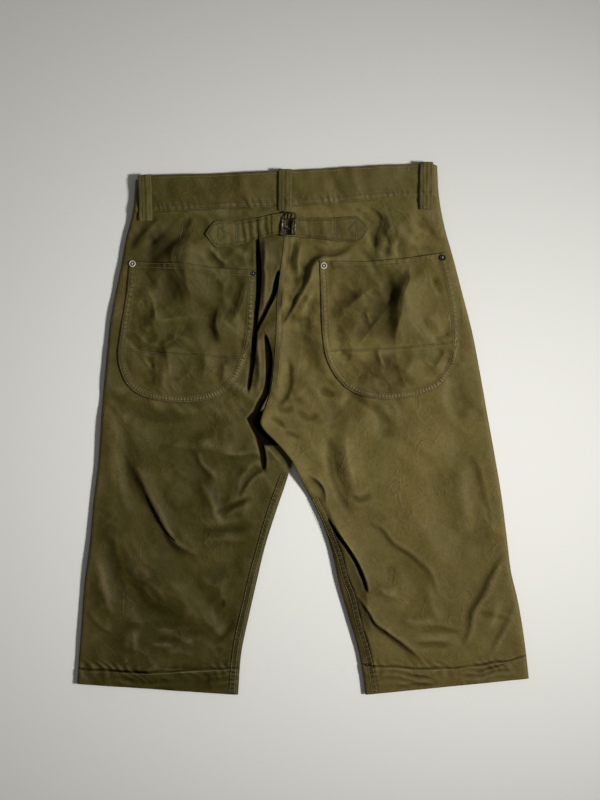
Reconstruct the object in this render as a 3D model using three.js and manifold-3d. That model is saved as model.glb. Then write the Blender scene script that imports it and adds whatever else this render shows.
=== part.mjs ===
// Three-quarter-length work shorts in heavy waxed cotton, laid out flat with the back up.
// Millimetres. +X to the right, +Y towards the waistband, +Z up. The origin lies on the surface
// that the shorts rest on, under the middle of their outline.
import * as THREE from "three";
import { mergeVertices } from "three/addons/utils/BufferGeometryUtils.js";
import Module from "manifold-3d";

const wasm = await Module();
wasm.setup();

// ---- Driving dimensions ----
const CLOTH = 1.2;            // one layer of the cotton
const DOUBLE = 2.2;           // turned hem and waistband, two layers
const GAP = 0.3;              // clearance at a seam
const LAY = 0.4;              // clearance under a piece that lies on another
const EDGE_HEIGHT = 9;        // top of the rolled side edges
const INNER_HEIGHT = 6;       // top of the back away from the edges, without folds
const LEAST_LAYERS = 3.4;     // the back's outer face is at least this far above the front's
const HEM_HEIGHT = 7;         // top of the back along the hems
const CURL = 5;               // width over which a side edge rounds down
const MIDDLE = 4.5;           // height of the side seams, where back and front meet
const SETTLE = 45;            // the rolled edge has settled this far in
const WAIST_Y = { left: 287, centre: 290, right: 306 };      // seam under the waistband
const TOP_Y = { left: 332, centre: 343, right: 353 };        // top edge of the waistband
const HEM_Y = { left: -338, inside: -352.5, right: -331 };   // bottom edges
const HEM_DEPTH = 30;         // turned hem
const CROTCH = { x: -14, y: -43 };
const ROW = { upper: 16, lower: 21, front: 32 };             // spacing of a wall's rows

// The flat outline, a row for each level, and the x of every edge there. Above the crotch both
// inside edges are the centre seam.
const LEVELS = [
  { y: 350, leftSide: -221, leftInside: -25, rightInside: -25, rightSide: 178 },
  { y: 290, leftSide: -225, leftInside: -22, rightInside: -22, rightSide: 183 },
  { y: 250, leftSide: -235, leftInside: -21, rightInside: -21, rightSide: 193 },
  { y: 220, leftSide: -241, leftInside: -26, rightInside: -26, rightSide: 201 },
  { y: 180, leftSide: -249, leftInside: -30, rightInside: -30, rightSide: 211 },
  { y: 130, leftSide: -257, leftInside: -34, rightInside: -34, rightSide: 224 },
  { y: 85, leftSide: -261, leftInside: -37, rightInside: -37, rightSide: 233 },
  { y: 40, leftSide: -266, leftInside: -44, rightInside: -44, rightSide: 241 },
  { y: 10, leftSide: -268, leftInside: -50, rightInside: -50, rightSide: 246 },
  { y: -20, leftSide: -270, leftInside: -33, rightInside: -33, rightSide: 252 },
  { y: CROTCH.y, leftSide: -272, leftInside: CROTCH.x, rightInside: CROTCH.x, rightSide: 256 },
  { y: -70, leftSide: -275, leftInside: -22, rightInside: -1, rightSide: 260 },
  { y: -100, leftSide: -278, leftInside: -32, rightInside: 14, rightSide: 265 },
  { y: -130, leftSide: -281, leftInside: -42, rightInside: 28, rightSide: 269 },
  { y: -165, leftSide: -284, leftInside: -52, rightInside: 39, rightSide: 273 },
  { y: -205, leftSide: -290, leftInside: -62, rightInside: 48, rightSide: 280 },
  { y: -250, leftSide: -293, leftInside: -72, rightInside: 60, rightSide: 289 },
  { y: -290, leftSide: -296, leftInside: -80, rightInside: 72, rightSide: 295 },
  { y: -330, leftSide: -299.5, leftInside: -84, rightInside: 80, rightSide: 299.5 },
  { y: -355, leftSide: -300, leftInside: -86, rightInside: 83, rightSide: 300 },
];

// The largest folds of the back: the line of each, its half width and how far it rises or sinks.
const FOLDS = [
  // around the centre seam, drawn together by the strap
  { from: [-54, 262], via: [-55, 150], to: [-60, 36], half: 17, rise: 9 },
  { from: [-65, 256], via: [-64, 125], to: [-74, 44], half: 11, rise: -8 },
  { from: [-21, 251], via: [-33, 111], to: [-50, 9], half: 14, rise: 9 },
  { from: [-38, 200], via: [-47, 127], to: [-48, 46], half: 9, rise: -6 },
  { from: [-48, 50], via: [-62, 15], to: [-40, -50], half: 13, rise: -8 },
  { from: [-40, 12], via: [-4, -30], to: [24, -80], half: 18, rise: 8 },
  { from: [1, 225], via: [-5, 191], to: [-28, 137], half: 11, rise: -5 },
  { from: [24, 232], via: [8, 198], to: [-14, 146], half: 14, rise: 5 },
  { from: [8, 171], via: [-2, 125], to: [-8, 65], half: 20, rise: 4 },
  { from: [-20, 131], via: [-14, 65], to: [-20, 12], half: 18, rise: 4 },
  // above and inside the pockets
  { from: [-190, 276], via: [-207, 248], to: [-219, 222], half: 13, rise: 5 },
  { from: [-166, 280], via: [-190, 246], to: [-205, 222], half: 12, rise: -4 },
  { from: [-141, 271], via: [-150, 235], to: [-154, 195], half: 18, rise: 4 },
  { from: [101, 298], via: [102, 262], to: [95, 226], half: 10, rise: -6 },
  { from: [116, 287], via: [116, 258], to: [112, 227], half: 13, rise: 4 },
  { from: [150, 280], via: [172, 262], to: [184, 246], half: 14, rise: 4 },
  { from: [129, 216], via: [132, 187], to: [127, 150], half: 15, rise: 3 },
  { from: [76, 186], via: [75, 160], to: [72, 125], half: 22, rise: 3 },
  { from: [-135, 170], via: [-134, 142], to: [-128, 100], half: 24, rise: 3 },
  { from: [-242, 17], via: [-183, 12], to: [-100, 8], half: 15, rise: -3 },
  // left leg
  { from: [-221, -69], via: [-203, -111], to: [-149, -163], half: 13, rise: -5 },
  { from: [-203, -20], via: [-190, -79], to: [-154, -140], half: 22, rise: 6 },
  { from: [-112, -100], via: [-84, -80], to: [-41, -60], half: 14, rise: -4 },
  { from: [-140, -60], via: [-115, -66], to: [-84, -52], half: 20, rise: 4 },
  { from: [-262, -137], via: [-241, -208], to: [-159, -256], half: 15, rise: -4 },
  { from: [-225, -150], via: [-205, -200], to: [-150, -232], half: 22, rise: 4 },
  { from: [-160, -290], via: [-182, -268], to: [-186, -310], half: 18, rise: 3 },
  // right leg
  { from: [64, -10], via: [67, -50], to: [80, -93], half: 20, rise: 6 },
  { from: [32, -2], via: [46, -56], to: [72, -113], half: 14, rise: -4 },
  { from: [81, -92], via: [123, -144], to: [173, -206], half: 18, rise: -4 },
  { from: [110, -90], via: [155, -140], to: [195, -196], half: 24, rise: 4 },
  { from: [40, -115], via: [60, -170], to: [84, -222], half: 12, rise: 4 },
  { from: [69, -222], via: [116, -273], to: [165, -310], half: 12, rise: -4 },
  { from: [96, -226], via: [130, -260], to: [176, -296], half: 16, rise: 5 },
  { from: [224, -30], via: [238, -81], to: [250, -140], half: 16, rise: -4 },
  { from: [262, -160], via: [238, -215], to: [217, -268], half: 16, rise: -3 },
  { from: [205, -100], via: [212, -150], to: [200, -210], half: 24, rise: 4 },
];

// Patch pockets, a row for each level from the mouth down to the round foot.
const POCKET_LEFT = [
  { y: 222, left: -230, right: -66 }, { y: 211, left: -231, right: -62 },
  { y: 185, left: -233, right: -63 }, { y: 131, left: -242, right: -66 },
  { y: 99, left: -246, right: -72 }, { y: 75, left: -242, right: -81 },
  { y: 52, left: -228, right: -97 }, { y: 40, left: -204, right: -117 },
  { y: 35, left: -178, right: -140 },
];
const POCKET_RIGHT = [
  { y: 232, left: 150, right: 188 }, { y: 224, left: 22, right: 191 },
  { y: 182, left: 23, right: 201 }, { y: 135, left: 25, right: 207 },
  { y: 99, left: 29, right: 206 }, { y: 75, left: 37, right: 196 },
  { y: 56, left: 54, right: 181 }, { y: 44, left: 75, right: 154 },
  { y: 40, left: 98, right: 130 },
];

// The cinch straps, a row for each place along them, from the pointed tab to the buckle.
const STRAP_LEFT = [
  { x: -129, low: 256, high: 258 }, { x: -116, low: 240, high: 275 },
  { x: -87, low: 244, high: 275 }, { x: -54, low: 253, high: 280 }, { x: -26, low: 258, high: 284 },
];
const STRAP_RIGHT = [
  { x: -15, low: 255, high: 279 }, { x: 20, low: 251, high: 279 },
  { x: 45, low: 248, high: 279 }, { x: 73, low: 248, high: 282 }, { x: 89, low: 265, high: 267 },
];

const RIVET = { radius: 4.5, height: 1.8, rim: 1.3 };
const RIVETS = [{ x: -225, y: 215 }, { x: -68, y: 205 }, { x: 28, y: 216 }, { x: 184, y: 224 }];
const BUCKLE = { x: -20.5, y: 271, width: 19, height: 31, bar: 3.2, wire: 2.2, prong: 2 };
const LOOP_WIDTH = 17;
const BACK_LOOPS = [
  { name: "loop_back_left", x: -208, top: 333, bottom: 275 },
  { name: "loop_back_centre", x: -23.5, top: 343, bottom: 288 },
  { name: "loop_back_right", x: 162.5, top: 353, bottom: 291 },
];
const FRONT_LOOPS = [
  { name: "loop_front_left", x: -138, top: 335, bottom: 277 },
  { name: "loop_front_right", x: 94, top: 347, bottom: 286 },
];
const LIFT = CLOTH + LAY;                                  // front cloth over what lies under it
const FLY = { left: -68, right: -24, bottom: 128, round: 30 };
const BUTTON = { x: -38, y: 315, radius: 8.5, height: 2.6, lift: 3, spread: 34 };

const OLIVE = { color: 0x4a4227, roughness: 0.72, metalness: 0 };
const OLIVE_POCKET = { color: 0x4d4529, roughness: 0.7, metalness: 0 };
const OLIVE_TRIM = { color: 0x463f25, roughness: 0.7, metalness: 0 };
const NICKEL = { color: 0x8d8c86, roughness: 0.35, metalness: 1 };
const DARK_STEEL = { color: 0x3a3a3a, roughness: 0.4, metalness: 1 };

// ---- Sizes worked out from these ----
const mix = THREE.MathUtils.lerp;
const smooth = (t) => THREE.MathUtils.smoothstep(t, 0, 1);

// The x of an edge at the height y: a smooth curve through the levels. The inside edges turn a
// corner at the crotch, so the curve above it doesn't look below it, and the other way round.
function edgeX(column, y) {
  const above = (row) => row.y >= CROTCH.y;
  const below = (row) => row.y <= CROTCH.y;
  const inside = column.endsWith("Inside");
  const rows = inside ? LEVELS.filter(y >= CROTCH.y ? above : below) : LEVELS;
  const next = rows.findIndex((row) => row.y <= y);
  const k = next < 0 ? rows.length - 2 : Math.max(next - 1, 0);
  const slope = (j) => {
    const before = rows[Math.max(j - 1, 0)];
    const after = rows[Math.min(j + 1, rows.length - 1)];
    return (after[column] - before[column]) / (after.y - before.y);
  };
  const span = rows[k + 1].y - rows[k].y;
  const t = (y - rows[k].y) / span;
  const ends = mix(rows[k][column], rows[k + 1][column], t * t * (3 - 2 * t));
  return ends + span * t * (1 - t) * (slope(k) * (1 - t) - slope(k + 1) * t);
}

// How far a point is inside the outline of the laid-out garment.
function edgeDistance(x, y) {
  const inside = y >= CROTCH.y
    ? Math.hypot(x - CROTCH.x, y - CROTCH.y)
    : Math.max(edgeX("leftInside", y) - x, x - edgeX("rightInside", y));
  return Math.max(0, Math.min(x - edgeX("leftSide", y), edgeX("rightSide", y) - x, inside));
}

// Distance from a point to a fold's line, and how far along it that is, from 0 to 1.
function alongFold(fold, x, y) {
  const points = [fold.from, fold.via, fold.to];
  let best = { distance: Infinity, along: 0 };
  for (const part of [0, 1]) {
    const [ax, ay] = points[part];
    const [bx, by] = points[part + 1];
    const length2 = (bx - ax) ** 2 + (by - ay) ** 2;
    const t = THREE.MathUtils.clamp(((x - ax) * (bx - ax) + (y - ay) * (by - ay)) / length2, 0, 1);
    const distance = Math.hypot(x - mix(ax, bx, t), y - mix(ay, by, t));
    if (distance < best.distance) best = { distance, along: (part + t) / 2 };
  }
  return best;
}

// All folds at a point: each is a soft ridge or trough that dies away at its ends.
function foldRise(x, y) {
  let rise = 0;
  for (const fold of FOLDS) {
    const { distance, along } = alongFold(fold, x, y);
    if (distance >= fold.half) continue;
    const across = (1 + Math.cos((Math.PI * distance) / fold.half)) / 2;
    const ends = smooth(4 * along + 0.35) * smooth(4 * (1 - along) + 0.35);
    rise += fold.rise * across * ends;
  }
  return rise;
}

// Height of the back's outer face before its side edges round down.
function backHeight(x, y) {
  const inland = smooth(edgeDistance(x, y) / SETTLE);
  const settled = mix(EDGE_HEIGHT, INNER_HEIGHT, inland);
  const hem = smooth((HEM_Y.right + HEM_DEPTH + 25 - y) / 25);
  const waist = smooth((y - 265) / 25);
  const base = Math.max(settled, mix(settled, HEM_HEIGHT, hem), mix(settled, EDGE_HEIGHT, waist));
  const free = base + foldRise(x, y) * (0.35 + 0.65 * inland) * (1 - 0.8 * hem) * (1 - waist);
  const least = frontHeight(x, y) + LEAST_LAYERS;
  const softness = 1.2;
  return least + softness * Math.log(1 + Math.exp((free - least) / softness));
}

// Height of the front's outer face above the surface: flat on it, lifted over the loops, fly
// and button that lie under it.
function frontHeight(x, y) {
  const overLoops = smooth((y - 235) / 30);
  const beside = Math.max(FLY.left - x, x - FLY.right, FLY.bottom - y, 0);
  const overFly = smooth((44 - beside) / 30);
  const fromButton = Math.hypot(x - BUTTON.x, y - BUTTON.y);
  const overButton = smooth((BUTTON.spread - fromButton) / (BUTTON.spread - BUTTON.radius - 4));
  return LIFT * Math.max(overLoops, overFly) + (BUTTON.lift - LIFT) * overButton;
}

// ---- Walls ----
// A closed wall between two grids of points of the same rows and columns. Rows run down the
// garment and columns to the right, so the first grid faces up unless the wall is turned over.
function wallBetween(outer, inner, facesDown = false) {
  const rows = outer.length;
  const columns = outer[0].length;
  const positions = [...outer.flat(), ...inner.flat()].flatMap((point) => point.toArray());
  const index = [];
  const quad = (a, b, c, d) => (facesDown ? index.push(a, c, b, a, d, c) : index.push(a, b, c, a, c, d));
  const top = (row, column) => row * columns + column;
  const bottom = (row, column) => rows * columns + top(row, column);
  for (let row = 0; row < rows - 1; row += 1) {
    for (let column = 0; column < columns - 1; column += 1) {
      quad(top(row, column), top(row + 1, column), top(row + 1, column + 1), top(row, column + 1));
      quad(bottom(row, column), bottom(row, column + 1), bottom(row + 1, column + 1), bottom(row + 1, column));
    }
    const end = columns - 1;
    quad(top(row, 0), bottom(row, 0), bottom(row + 1, 0), top(row + 1, 0));
    quad(top(row, end), top(row + 1, end), bottom(row + 1, end), bottom(row, end));
  }
  for (let column = 0; column < columns - 1; column += 1) {
    const end = rows - 1;
    quad(top(0, column), top(0, column + 1), bottom(0, column + 1), bottom(0, column));
    quad(top(end, column), bottom(end, column), bottom(end, column + 1), top(end, column + 1));
  }
  const geometry = new THREE.BufferGeometry();
  geometry.setAttribute("position", new THREE.Float32BufferAttribute(positions, 3));
  geometry.setIndex(index);
  return geometry;
}

// The stops of one row across a panel, left to right: how far each is from the row's left end
// and how far its point has rounded over, from 0 on the flat to 1 on the edge itself.
function stopsAcross(width, curlLeft, curlRight, fractions, nearSeam) {
  const rounding = [1, 0.5, 0].map((turn) => ({
    turn,
    inset: CURL * (1 - Math.sin((turn * Math.PI) / 2)),
  }));
  const flat = [0, nearSeam, 2 * nearSeam].map((inset) => ({ turn: 0, inset }));
  const left = curlLeft ? rounding : flat;
  const right = curlRight ? rounding : flat;
  const start = left[2].inset;
  const middle = width - start - right[2].inset;
  return [
    ...left.map(({ inset, turn }) => ({ at: inset, turn, out: -1 })),
    ...fractions.map((fraction) => ({ at: start + fraction * middle, turn: 0, out: 0 })),
    ...right.reverse().map(({ inset, turn }) => ({ at: width - inset, turn, out: 1 })),
  ];
}

// A grid of points and normals over one panel. Every row is a straight line on the flat outline,
// from a point on the left edge to one on the right; heightAt gives the outer face on the flat.
function panelGrid(rowEnds, fractions, heightAt, facesDown, nearSeam) {
  const seamHeight = MIDDLE + (facesDown ? -GAP : GAP) / 2;
  const points = rowEnds.map(({ left, right, curlLeft, curlRight }) => {
    const width = right.x - left.x;
    return stopsAcross(width, curlLeft, curlRight, fractions, nearSeam).map(({ at, turn, out }) => {
      const x = left.x + at;
      const y = mix(left.y, right.y, at / width);
      const z = mix(seamHeight, heightAt(x, y), Math.cos((turn * Math.PI) / 2));
      return { point: new THREE.Vector3(x, y, z), turn, out };
    });
  });
  const slope = (x, y) => new THREE.Vector3(
    heightAt(x - 2, y) - heightAt(x + 2, y), heightAt(x, y - 2) - heightAt(x, y + 2), 4,
  ).normalize();
  return points.map((row) => row.map(({ point, turn, out }) => {
    const flat = slope(point.x, point.y).multiplyScalar(facesDown ? -1 : 1);
    const sideways = new THREE.Vector3(out, 0, 0);
    const angle = (turn * Math.PI) / 2;
    const normal = flat.multiplyScalar(Math.cos(angle)).addScaledVector(sideways, Math.sin(angle));
    return { point, normal: normal.normalize() };
  }));
}

const moved = (grid, distance) => grid.map((row, r) => row.map(({ point, normal }) => {
  const by = typeof distance === "function" ? distance(r) : distance;
  return point.clone().addScaledVector(normal, by);
}));

// Levels from one height down to another, about a step apart.
function levelsBetween(high, low, step) {
  const count = Math.max(1, Math.round((high - low) / step));
  return Array.from({ length: count }, (_, i) => mix(high, low, i / count));
}

// The ends of every row of one leg's panel. A row is named by the height of its inside end; its
// side end moves with it from the waist seam to the hem. Above the crotch the inside edge is a
// seam, and below it the edge rounds over.
function legRows(side, insideLevels, centreX) {
  const [sideEdge, insideEdge] = [`${side}Side`, `${side}Inside`];
  return insideLevels.map((level) => {
    const down = (WAIST_Y.centre - level) / (WAIST_Y.centre - HEM_Y.inside);
    const sideY = mix(WAIST_Y[side], HEM_Y[side], down);
    const open = level <= CROTCH.y;
    const seam = centreX(level) + (side === "left" ? -GAP : GAP) / 2;
    const insideX = open ? edgeX(insideEdge, level) : seam;
    const apart = level === CROTCH.y ? (side === "left" ? -GAP : GAP) / 2 : 0;
    const outside = { x: edgeX(sideEdge, sideY), y: sideY };
    const inside = { x: insideX + apart, y: level };
    return side === "left"
      ? { left: outside, right: inside, curlLeft: true, curlRight: open }
      : { left: inside, right: outside, curlLeft: open, curlRight: true };
  });
}

const HEM_FOLD = HEM_Y.inside + HEM_DEPTH;
const hemLevels = [HEM_FOLD, HEM_FOLD - 2, mix(HEM_FOLD, HEM_Y.inside, 0.5), HEM_Y.inside];
const inHem = (levels) => (row) => (levels[row] < HEM_FOLD - 1 ? 1 : 0);

// Columns of a back panel, closer together near the centre seam than towards the side.
const CENTRE_CROWD = 1.3;
const ACROSS = 11;
function crowded(count, side) {
  const fractions = Array.from({ length: count }, (_, i) => ((i + 1) / (count + 1)) ** CENTRE_CROWD);
  return side === "left" ? fractions.map((fraction) => 1 - fraction).reverse() : fractions;
}

function backPanel(side) {
  const levels = [
    ...levelsBetween(WAIST_Y.centre, CROTCH.y, ROW.upper),
    ...levelsBetween(CROTCH.y, HEM_FOLD, ROW.lower),
    ...hemLevels,
  ];
  const centre = (y) => edgeX("leftInside", y);
  const grid = panelGrid(legRows(side, levels, centre), crowded(ACROSS, side), backHeight, false, 7);
  const thick = inHem(levels);
  const outer = moved(grid, (row) => thick(row) * (DOUBLE - CLOTH));
  return { grid, geometry: wallBetween(outer, moved(grid, -CLOTH)) };
}

function frontPanel(side) {
  const levels = [
    ...levelsBetween(WAIST_Y.centre, CROTCH.y, ROW.front),
    ...levelsBetween(CROTCH.y, HEM_FOLD, ROW.front),
    ...hemLevels,
  ];
  const centre = (y) => mix(CROTCH.x, LEVELS[1].leftInside, (y - CROTCH.y) / (WAIST_Y.centre - CROTCH.y));
  const rows = legRows(side, levels, centre);
  const fractions = side === "left" ? [0.25, 0.5, 0.66, 0.76, 0.88] : [0.1, 0.25, 0.5, 0.75];
  const grid = panelGrid(rows, fractions, frontHeight, true, 8);
  const thick = inHem(levels);
  const inner = moved(grid, (row) => -CLOTH - thick(row) * (DOUBLE - CLOTH));
  return { grid, geometry: wallBetween(moved(grid, 0), inner, true) };
}

// The rows of a stretch of waistband between two places across the waist.
function bandRows(fromX, toX, curlLeft, curlRight) {
  const edgeY = (ys, x) => {
    const { leftSide, leftInside, rightSide } = LEVELS[0];
    return x < leftInside
      ? mix(ys.left, ys.centre, (x - leftSide) / (leftInside - leftSide))
      : mix(ys.centre, ys.right, (x - leftInside) / (rightSide - leftInside));
  };
  return [1, 0.66, 0.33, 0].map((up) => {
    const end = (x) => mix(edgeY(WAIST_Y, x) + GAP, edgeY(TOP_Y, x), up);
    const left = { x: fromX ?? edgeX("leftSide", end(-1000)), y: 0 };
    const right = { x: toX ?? edgeX("rightSide", end(1000)), y: 0 };
    left.y = end(left.x);
    right.y = end(right.x);
    return { left, right, curlLeft, curlRight };
  });
}

const BAND_PROUD = 1;      // the band stands this much over the panels sewn into it
const evenly = (count) => Array.from({ length: count }, (_, i) => (i + 1) / (count + 1));

function waistbandBack() {
  const height = (x, y) => backHeight(x, Math.min(y, WAIST_Y.centre)) + BAND_PROUD;
  const grid = panelGrid(bandRows(null, null, true, true), evenly(22), height, false, 7);
  return { grid, geometry: wallBetween(moved(grid, 0), moved(grid, -DOUBLE)) };
}

function waistbandFront(side) {
  const split = LEVELS[1].leftInside;
  const rows = side === "left"
    ? bandRows(null, split - GAP / 2, true, false)
    : bandRows(split + GAP / 2, null, false, true);
  const grid = panelGrid(rows, evenly(9), frontHeight, true, 7);
  return { grid, geometry: wallBetween(moved(grid, 0), moved(grid, -DOUBLE), true) };
}

// ---- Pieces that lie on a panel ----
function toSolid(geometry) {
  const bare = geometry.clone();
  bare.deleteAttribute("normal");
  bare.deleteAttribute("uv");
  const merged = mergeVertices(bare, 1e-4);
  return new wasm.Manifold(new wasm.Mesh({
    numProp: 3,
    vertProperties: new Float32Array(merged.attributes.position.array),
    triVerts: new Uint32Array(merged.index.array),
  }));
}

function toGeometry(solid) {
  const mesh = solid.getMesh();
  const geometry = new THREE.BufferGeometry();
  geometry.setAttribute("position", new THREE.BufferAttribute(mesh.vertProperties, 3));
  geometry.setIndex(new THREE.BufferAttribute(mesh.triVerts, 1));
  return geometry;
}

// A layer of cloth on a panel, cut to an outline: the panel's own points moved out, then trimmed
// by a prism that stands on the outline.
function layerOn(grid, outline, thickness = CLOTH, faces = "up") {
  const slab = wallBetween(moved(grid, LAY + thickness), moved(grid, LAY), faces === "down");
  const shape = new THREE.Shape(outline.map(([x, y]) => new THREE.Vector2(x, y)));
  const prism = new THREE.ExtrudeGeometry(shape, { depth: 80, bevelEnabled: false });
  prism.translate(0, 0, -10);
  return toGeometry(toSolid(slab).intersect(toSolid(prism)));
}

// Outline down the right-hand edge of a table of levels and back up its left-hand edge.
const outlineOfLevels = (rows) => [
  ...rows.map((row) => [row.right, row.y]),
  ...[...rows].reverse().map((row) => [row.left, row.y]),
];
const outlineOfStrap = (rows) => [
  ...rows.map((row) => [row.x, row.low]),
  ...[...rows].reverse().map((row) => [row.x, row.high]),
];

// Highest point of the given meshes under a round or square patch.
function topUnder(meshes, x, y, reach) {
  const down = new THREE.Vector3(0, 0, -1);
  const heights = [[0, 0], [reach, 0], [-reach, 0], [0, reach], [0, -reach],
    [reach, reach], [-reach, reach], [reach, -reach], [-reach, -reach]].map(([dx, dy]) => {
    const ray = new THREE.Raycaster(new THREE.Vector3(x + dx, y + dy, 200), down);
    return ray.intersectObjects(meshes)[0]?.point.z ?? 0;
  });
  return Math.max(...heights);
}

// A belt loop: a flat strip over the waistband, bowed a little clear of it for the belt.
function beltLoop({ x, top, bottom }, meshes) {
  const LENGTHWISE = 6;
  const BOW = 2;
  const outer = [];
  for (let i = 0; i <= LENGTHWISE; i += 1) {
    const y = mix(top, bottom, i / LENGTHWISE);
    const near = [y - 5, y, y + 5].map((level) => topUnder(meshes, x, level, LOOP_WIDTH / 2));
    const z = Math.max(...near) + LAY + CLOTH + BOW * Math.sin((Math.PI * i) / LENGTHWISE);
    outer.push([-0.5, 0, 0.5].map((across) => new THREE.Vector3(x + across * LOOP_WIDTH, y, z)));
  }
  const inner = outer.map((row) => row.map((point) => point.clone().setZ(point.z - CLOTH)));
  return wallBetween(outer, inner);
}

function frontLoop({ x, top, bottom }) {
  const strip = new THREE.BoxGeometry(LOOP_WIDTH, top - bottom, CLOTH);
  return strip.translate(x, (top + bottom) / 2, CLOTH / 2);
}

// A domed rivet head with a sunk middle.
function rivetHead() {
  const { radius, height, rim } = RIVET;
  const profile = [
    [0, 0], [radius, 0], [radius, height * 0.45], [radius - rim * 0.5, height],
    [radius - rim, height * 0.8], [radius - rim - 0.4, height * 0.35], [0, height * 0.5],
  ].map(([r, h]) => new THREE.Vector2(r, h));
  return new THREE.LatheGeometry(profile, 14).rotateX(Math.PI / 2);
}

// Two-prong cinch buckle: an open frame with a bar across its middle and two prongs from the bar.
function cinchBuckle() {
  const { width, height, bar, wire, prong } = BUCKLE;
  const rounded = (w, h, r) => {
    const path = new THREE.Shape();
    path.absarc(w / 2 - r, h / 2 - r, r, 0, Math.PI / 2);
    path.absarc(-w / 2 + r, h / 2 - r, r, Math.PI / 2, Math.PI);
    path.absarc(-w / 2 + r, -h / 2 + r, r, Math.PI, 1.5 * Math.PI);
    path.absarc(w / 2 - r, -h / 2 + r, r, 1.5 * Math.PI, 2 * Math.PI);
    return path;
  };
  const outline = rounded(width, height, 3);
  outline.holes.push(rounded(width - 2 * bar, height - 2 * bar, 1.2));
  const frame = new THREE.ExtrudeGeometry(outline, { depth: wire, bevelEnabled: false, curveSegments: 4 });
  let solid = toSolid(frame);
  const crossBar = new THREE.BoxGeometry(bar * 0.8, height - bar, wire).translate(0, 0, wire / 2);
  solid = solid.add(toSolid(crossBar));
  for (const up of [-1, 1]) {
    const tine = new THREE.BoxGeometry(width - bar, prong, wire * 0.7);
    tine.translate(bar / 2, (up * height) / 5, wire * 0.55);
    solid = solid.add(toSolid(tine));
  }
  return toGeometry(solid);
}

// A flat-backed waist button, face down.
function waistButton() {
  const { radius, height } = BUTTON;
  const profile = [
    [0, 0.5], [radius * 0.5, 0.5], [radius * 0.62, 0], [radius * 0.88, 0], [radius, 0.6],
    [radius, height * 0.6], [radius * 0.85, height], [0, height],
  ].map(([r, h]) => new THREE.Vector2(r, h));
  return new THREE.LatheGeometry(profile, 20).rotateX(Math.PI / 2);
}

// ---- The garment ----
const shorts = new THREE.Group();
function add(name, geometry, finish) {
  const mesh = new THREE.Mesh(geometry, new THREE.MeshStandardMaterial(finish));
  mesh.name = name;
  mesh.updateMatrixWorld();
  shorts.add(mesh);
  return mesh;
}

const panels = {};
for (const side of ["left", "right"]) {
  panels[side] = backPanel(side);
  add(`back_${side}`, panels[side].geometry, OLIVE);
  add(`front_${side}`, frontPanel(side).geometry, OLIVE);
  add(`waistband_front_${side}`, waistbandFront(side).geometry, OLIVE_TRIM);
}
const band = add("waistband_back", waistbandBack().geometry, OLIVE_TRIM);

add("pocket_left", layerOn(panels.left.grid, outlineOfLevels(POCKET_LEFT)), OLIVE_POCKET);
add("pocket_right", layerOn(panels.right.grid, outlineOfLevels(POCKET_RIGHT)), OLIVE_POCKET);
add("strap_left", layerOn(panels.left.grid, outlineOfStrap(STRAP_LEFT), DOUBLE), OLIVE_TRIM);
add("strap_right", layerOn(panels.right.grid, outlineOfStrap(STRAP_RIGHT), DOUBLE), OLIVE_TRIM);

const underLoops = [shorts.getObjectByName("back_left"), shorts.getObjectByName("back_right"), band];
for (const loop of BACK_LOOPS) add(loop.name, beltLoop(loop, underLoops), OLIVE_TRIM);
for (const loop of FRONT_LOOPS) add(loop.name, frontLoop(loop), OLIVE_TRIM);

const underTrim = shorts.children.filter((mesh) => /pocket|strap|back_/.test(mesh.name));
RIVETS.forEach(({ x, y }, number) => {
  const rivet = add(`rivet_${number + 1}`, rivetHead(), NICKEL);
  rivet.position.set(x, y, topUnder(underTrim, x, y, RIVET.radius) + GAP);
});
const buckle = add("buckle", cinchBuckle(), DARK_STEEL);
const underBuckle = [0, -10, 10].map((dy) => topUnder(underTrim, BUCKLE.x, BUCKLE.y + dy, BUCKLE.width / 2));
buckle.position.set(BUCKLE.x, BUCKLE.y, Math.max(...underBuckle) + GAP);

const flyShape = new THREE.Shape();
flyShape.moveTo(FLY.right, WAIST_Y.centre - 2);
flyShape.lineTo(FLY.left, WAIST_Y.centre - 2);
flyShape.lineTo(FLY.left, FLY.bottom + FLY.round);
flyShape.quadraticCurveTo(FLY.left, FLY.bottom, FLY.right, FLY.bottom);
add("fly", new THREE.ExtrudeGeometry(flyShape, { depth: CLOTH, bevelEnabled: false, curveSegments: 6 }), OLIVE);
const button = add("button", waistButton(), NICKEL);
button.position.set(BUTTON.x, BUTTON.y, 0);

export default shorts;
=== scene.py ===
import math

import bpy
import numpy as np
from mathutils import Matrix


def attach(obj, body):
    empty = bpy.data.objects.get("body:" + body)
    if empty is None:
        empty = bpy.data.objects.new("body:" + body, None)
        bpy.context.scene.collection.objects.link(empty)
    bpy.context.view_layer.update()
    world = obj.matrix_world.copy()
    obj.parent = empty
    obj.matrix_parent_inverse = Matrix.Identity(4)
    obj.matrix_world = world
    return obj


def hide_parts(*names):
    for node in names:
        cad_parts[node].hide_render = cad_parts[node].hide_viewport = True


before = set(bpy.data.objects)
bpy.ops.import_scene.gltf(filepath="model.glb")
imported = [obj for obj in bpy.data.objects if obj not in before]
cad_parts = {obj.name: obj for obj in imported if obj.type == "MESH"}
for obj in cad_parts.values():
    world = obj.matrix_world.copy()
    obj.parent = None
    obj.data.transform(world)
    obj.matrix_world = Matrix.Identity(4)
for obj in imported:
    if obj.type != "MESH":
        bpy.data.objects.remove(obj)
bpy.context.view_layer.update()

# ---- The surface the shorts lie on, the window light and the camera ----
# A pale sheet of smooth board. A broad soft light stands low on the right, like a window, so the
# right of the board is brighter and every fold throws its shade to the left.
BOARD_SIZE = 6.0
BOARD_COLOUR = (0.80, 0.80, 0.775, 1.0)
VIEW_CENTRE = (-0.0038, 0.0382)     # the middle of the picture, on the board
VIEW_TALL = 1.064                   # metres of board from its top to its bottom
CAMERA_HEIGHT = 2.2
SENSOR = 36.0


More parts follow.
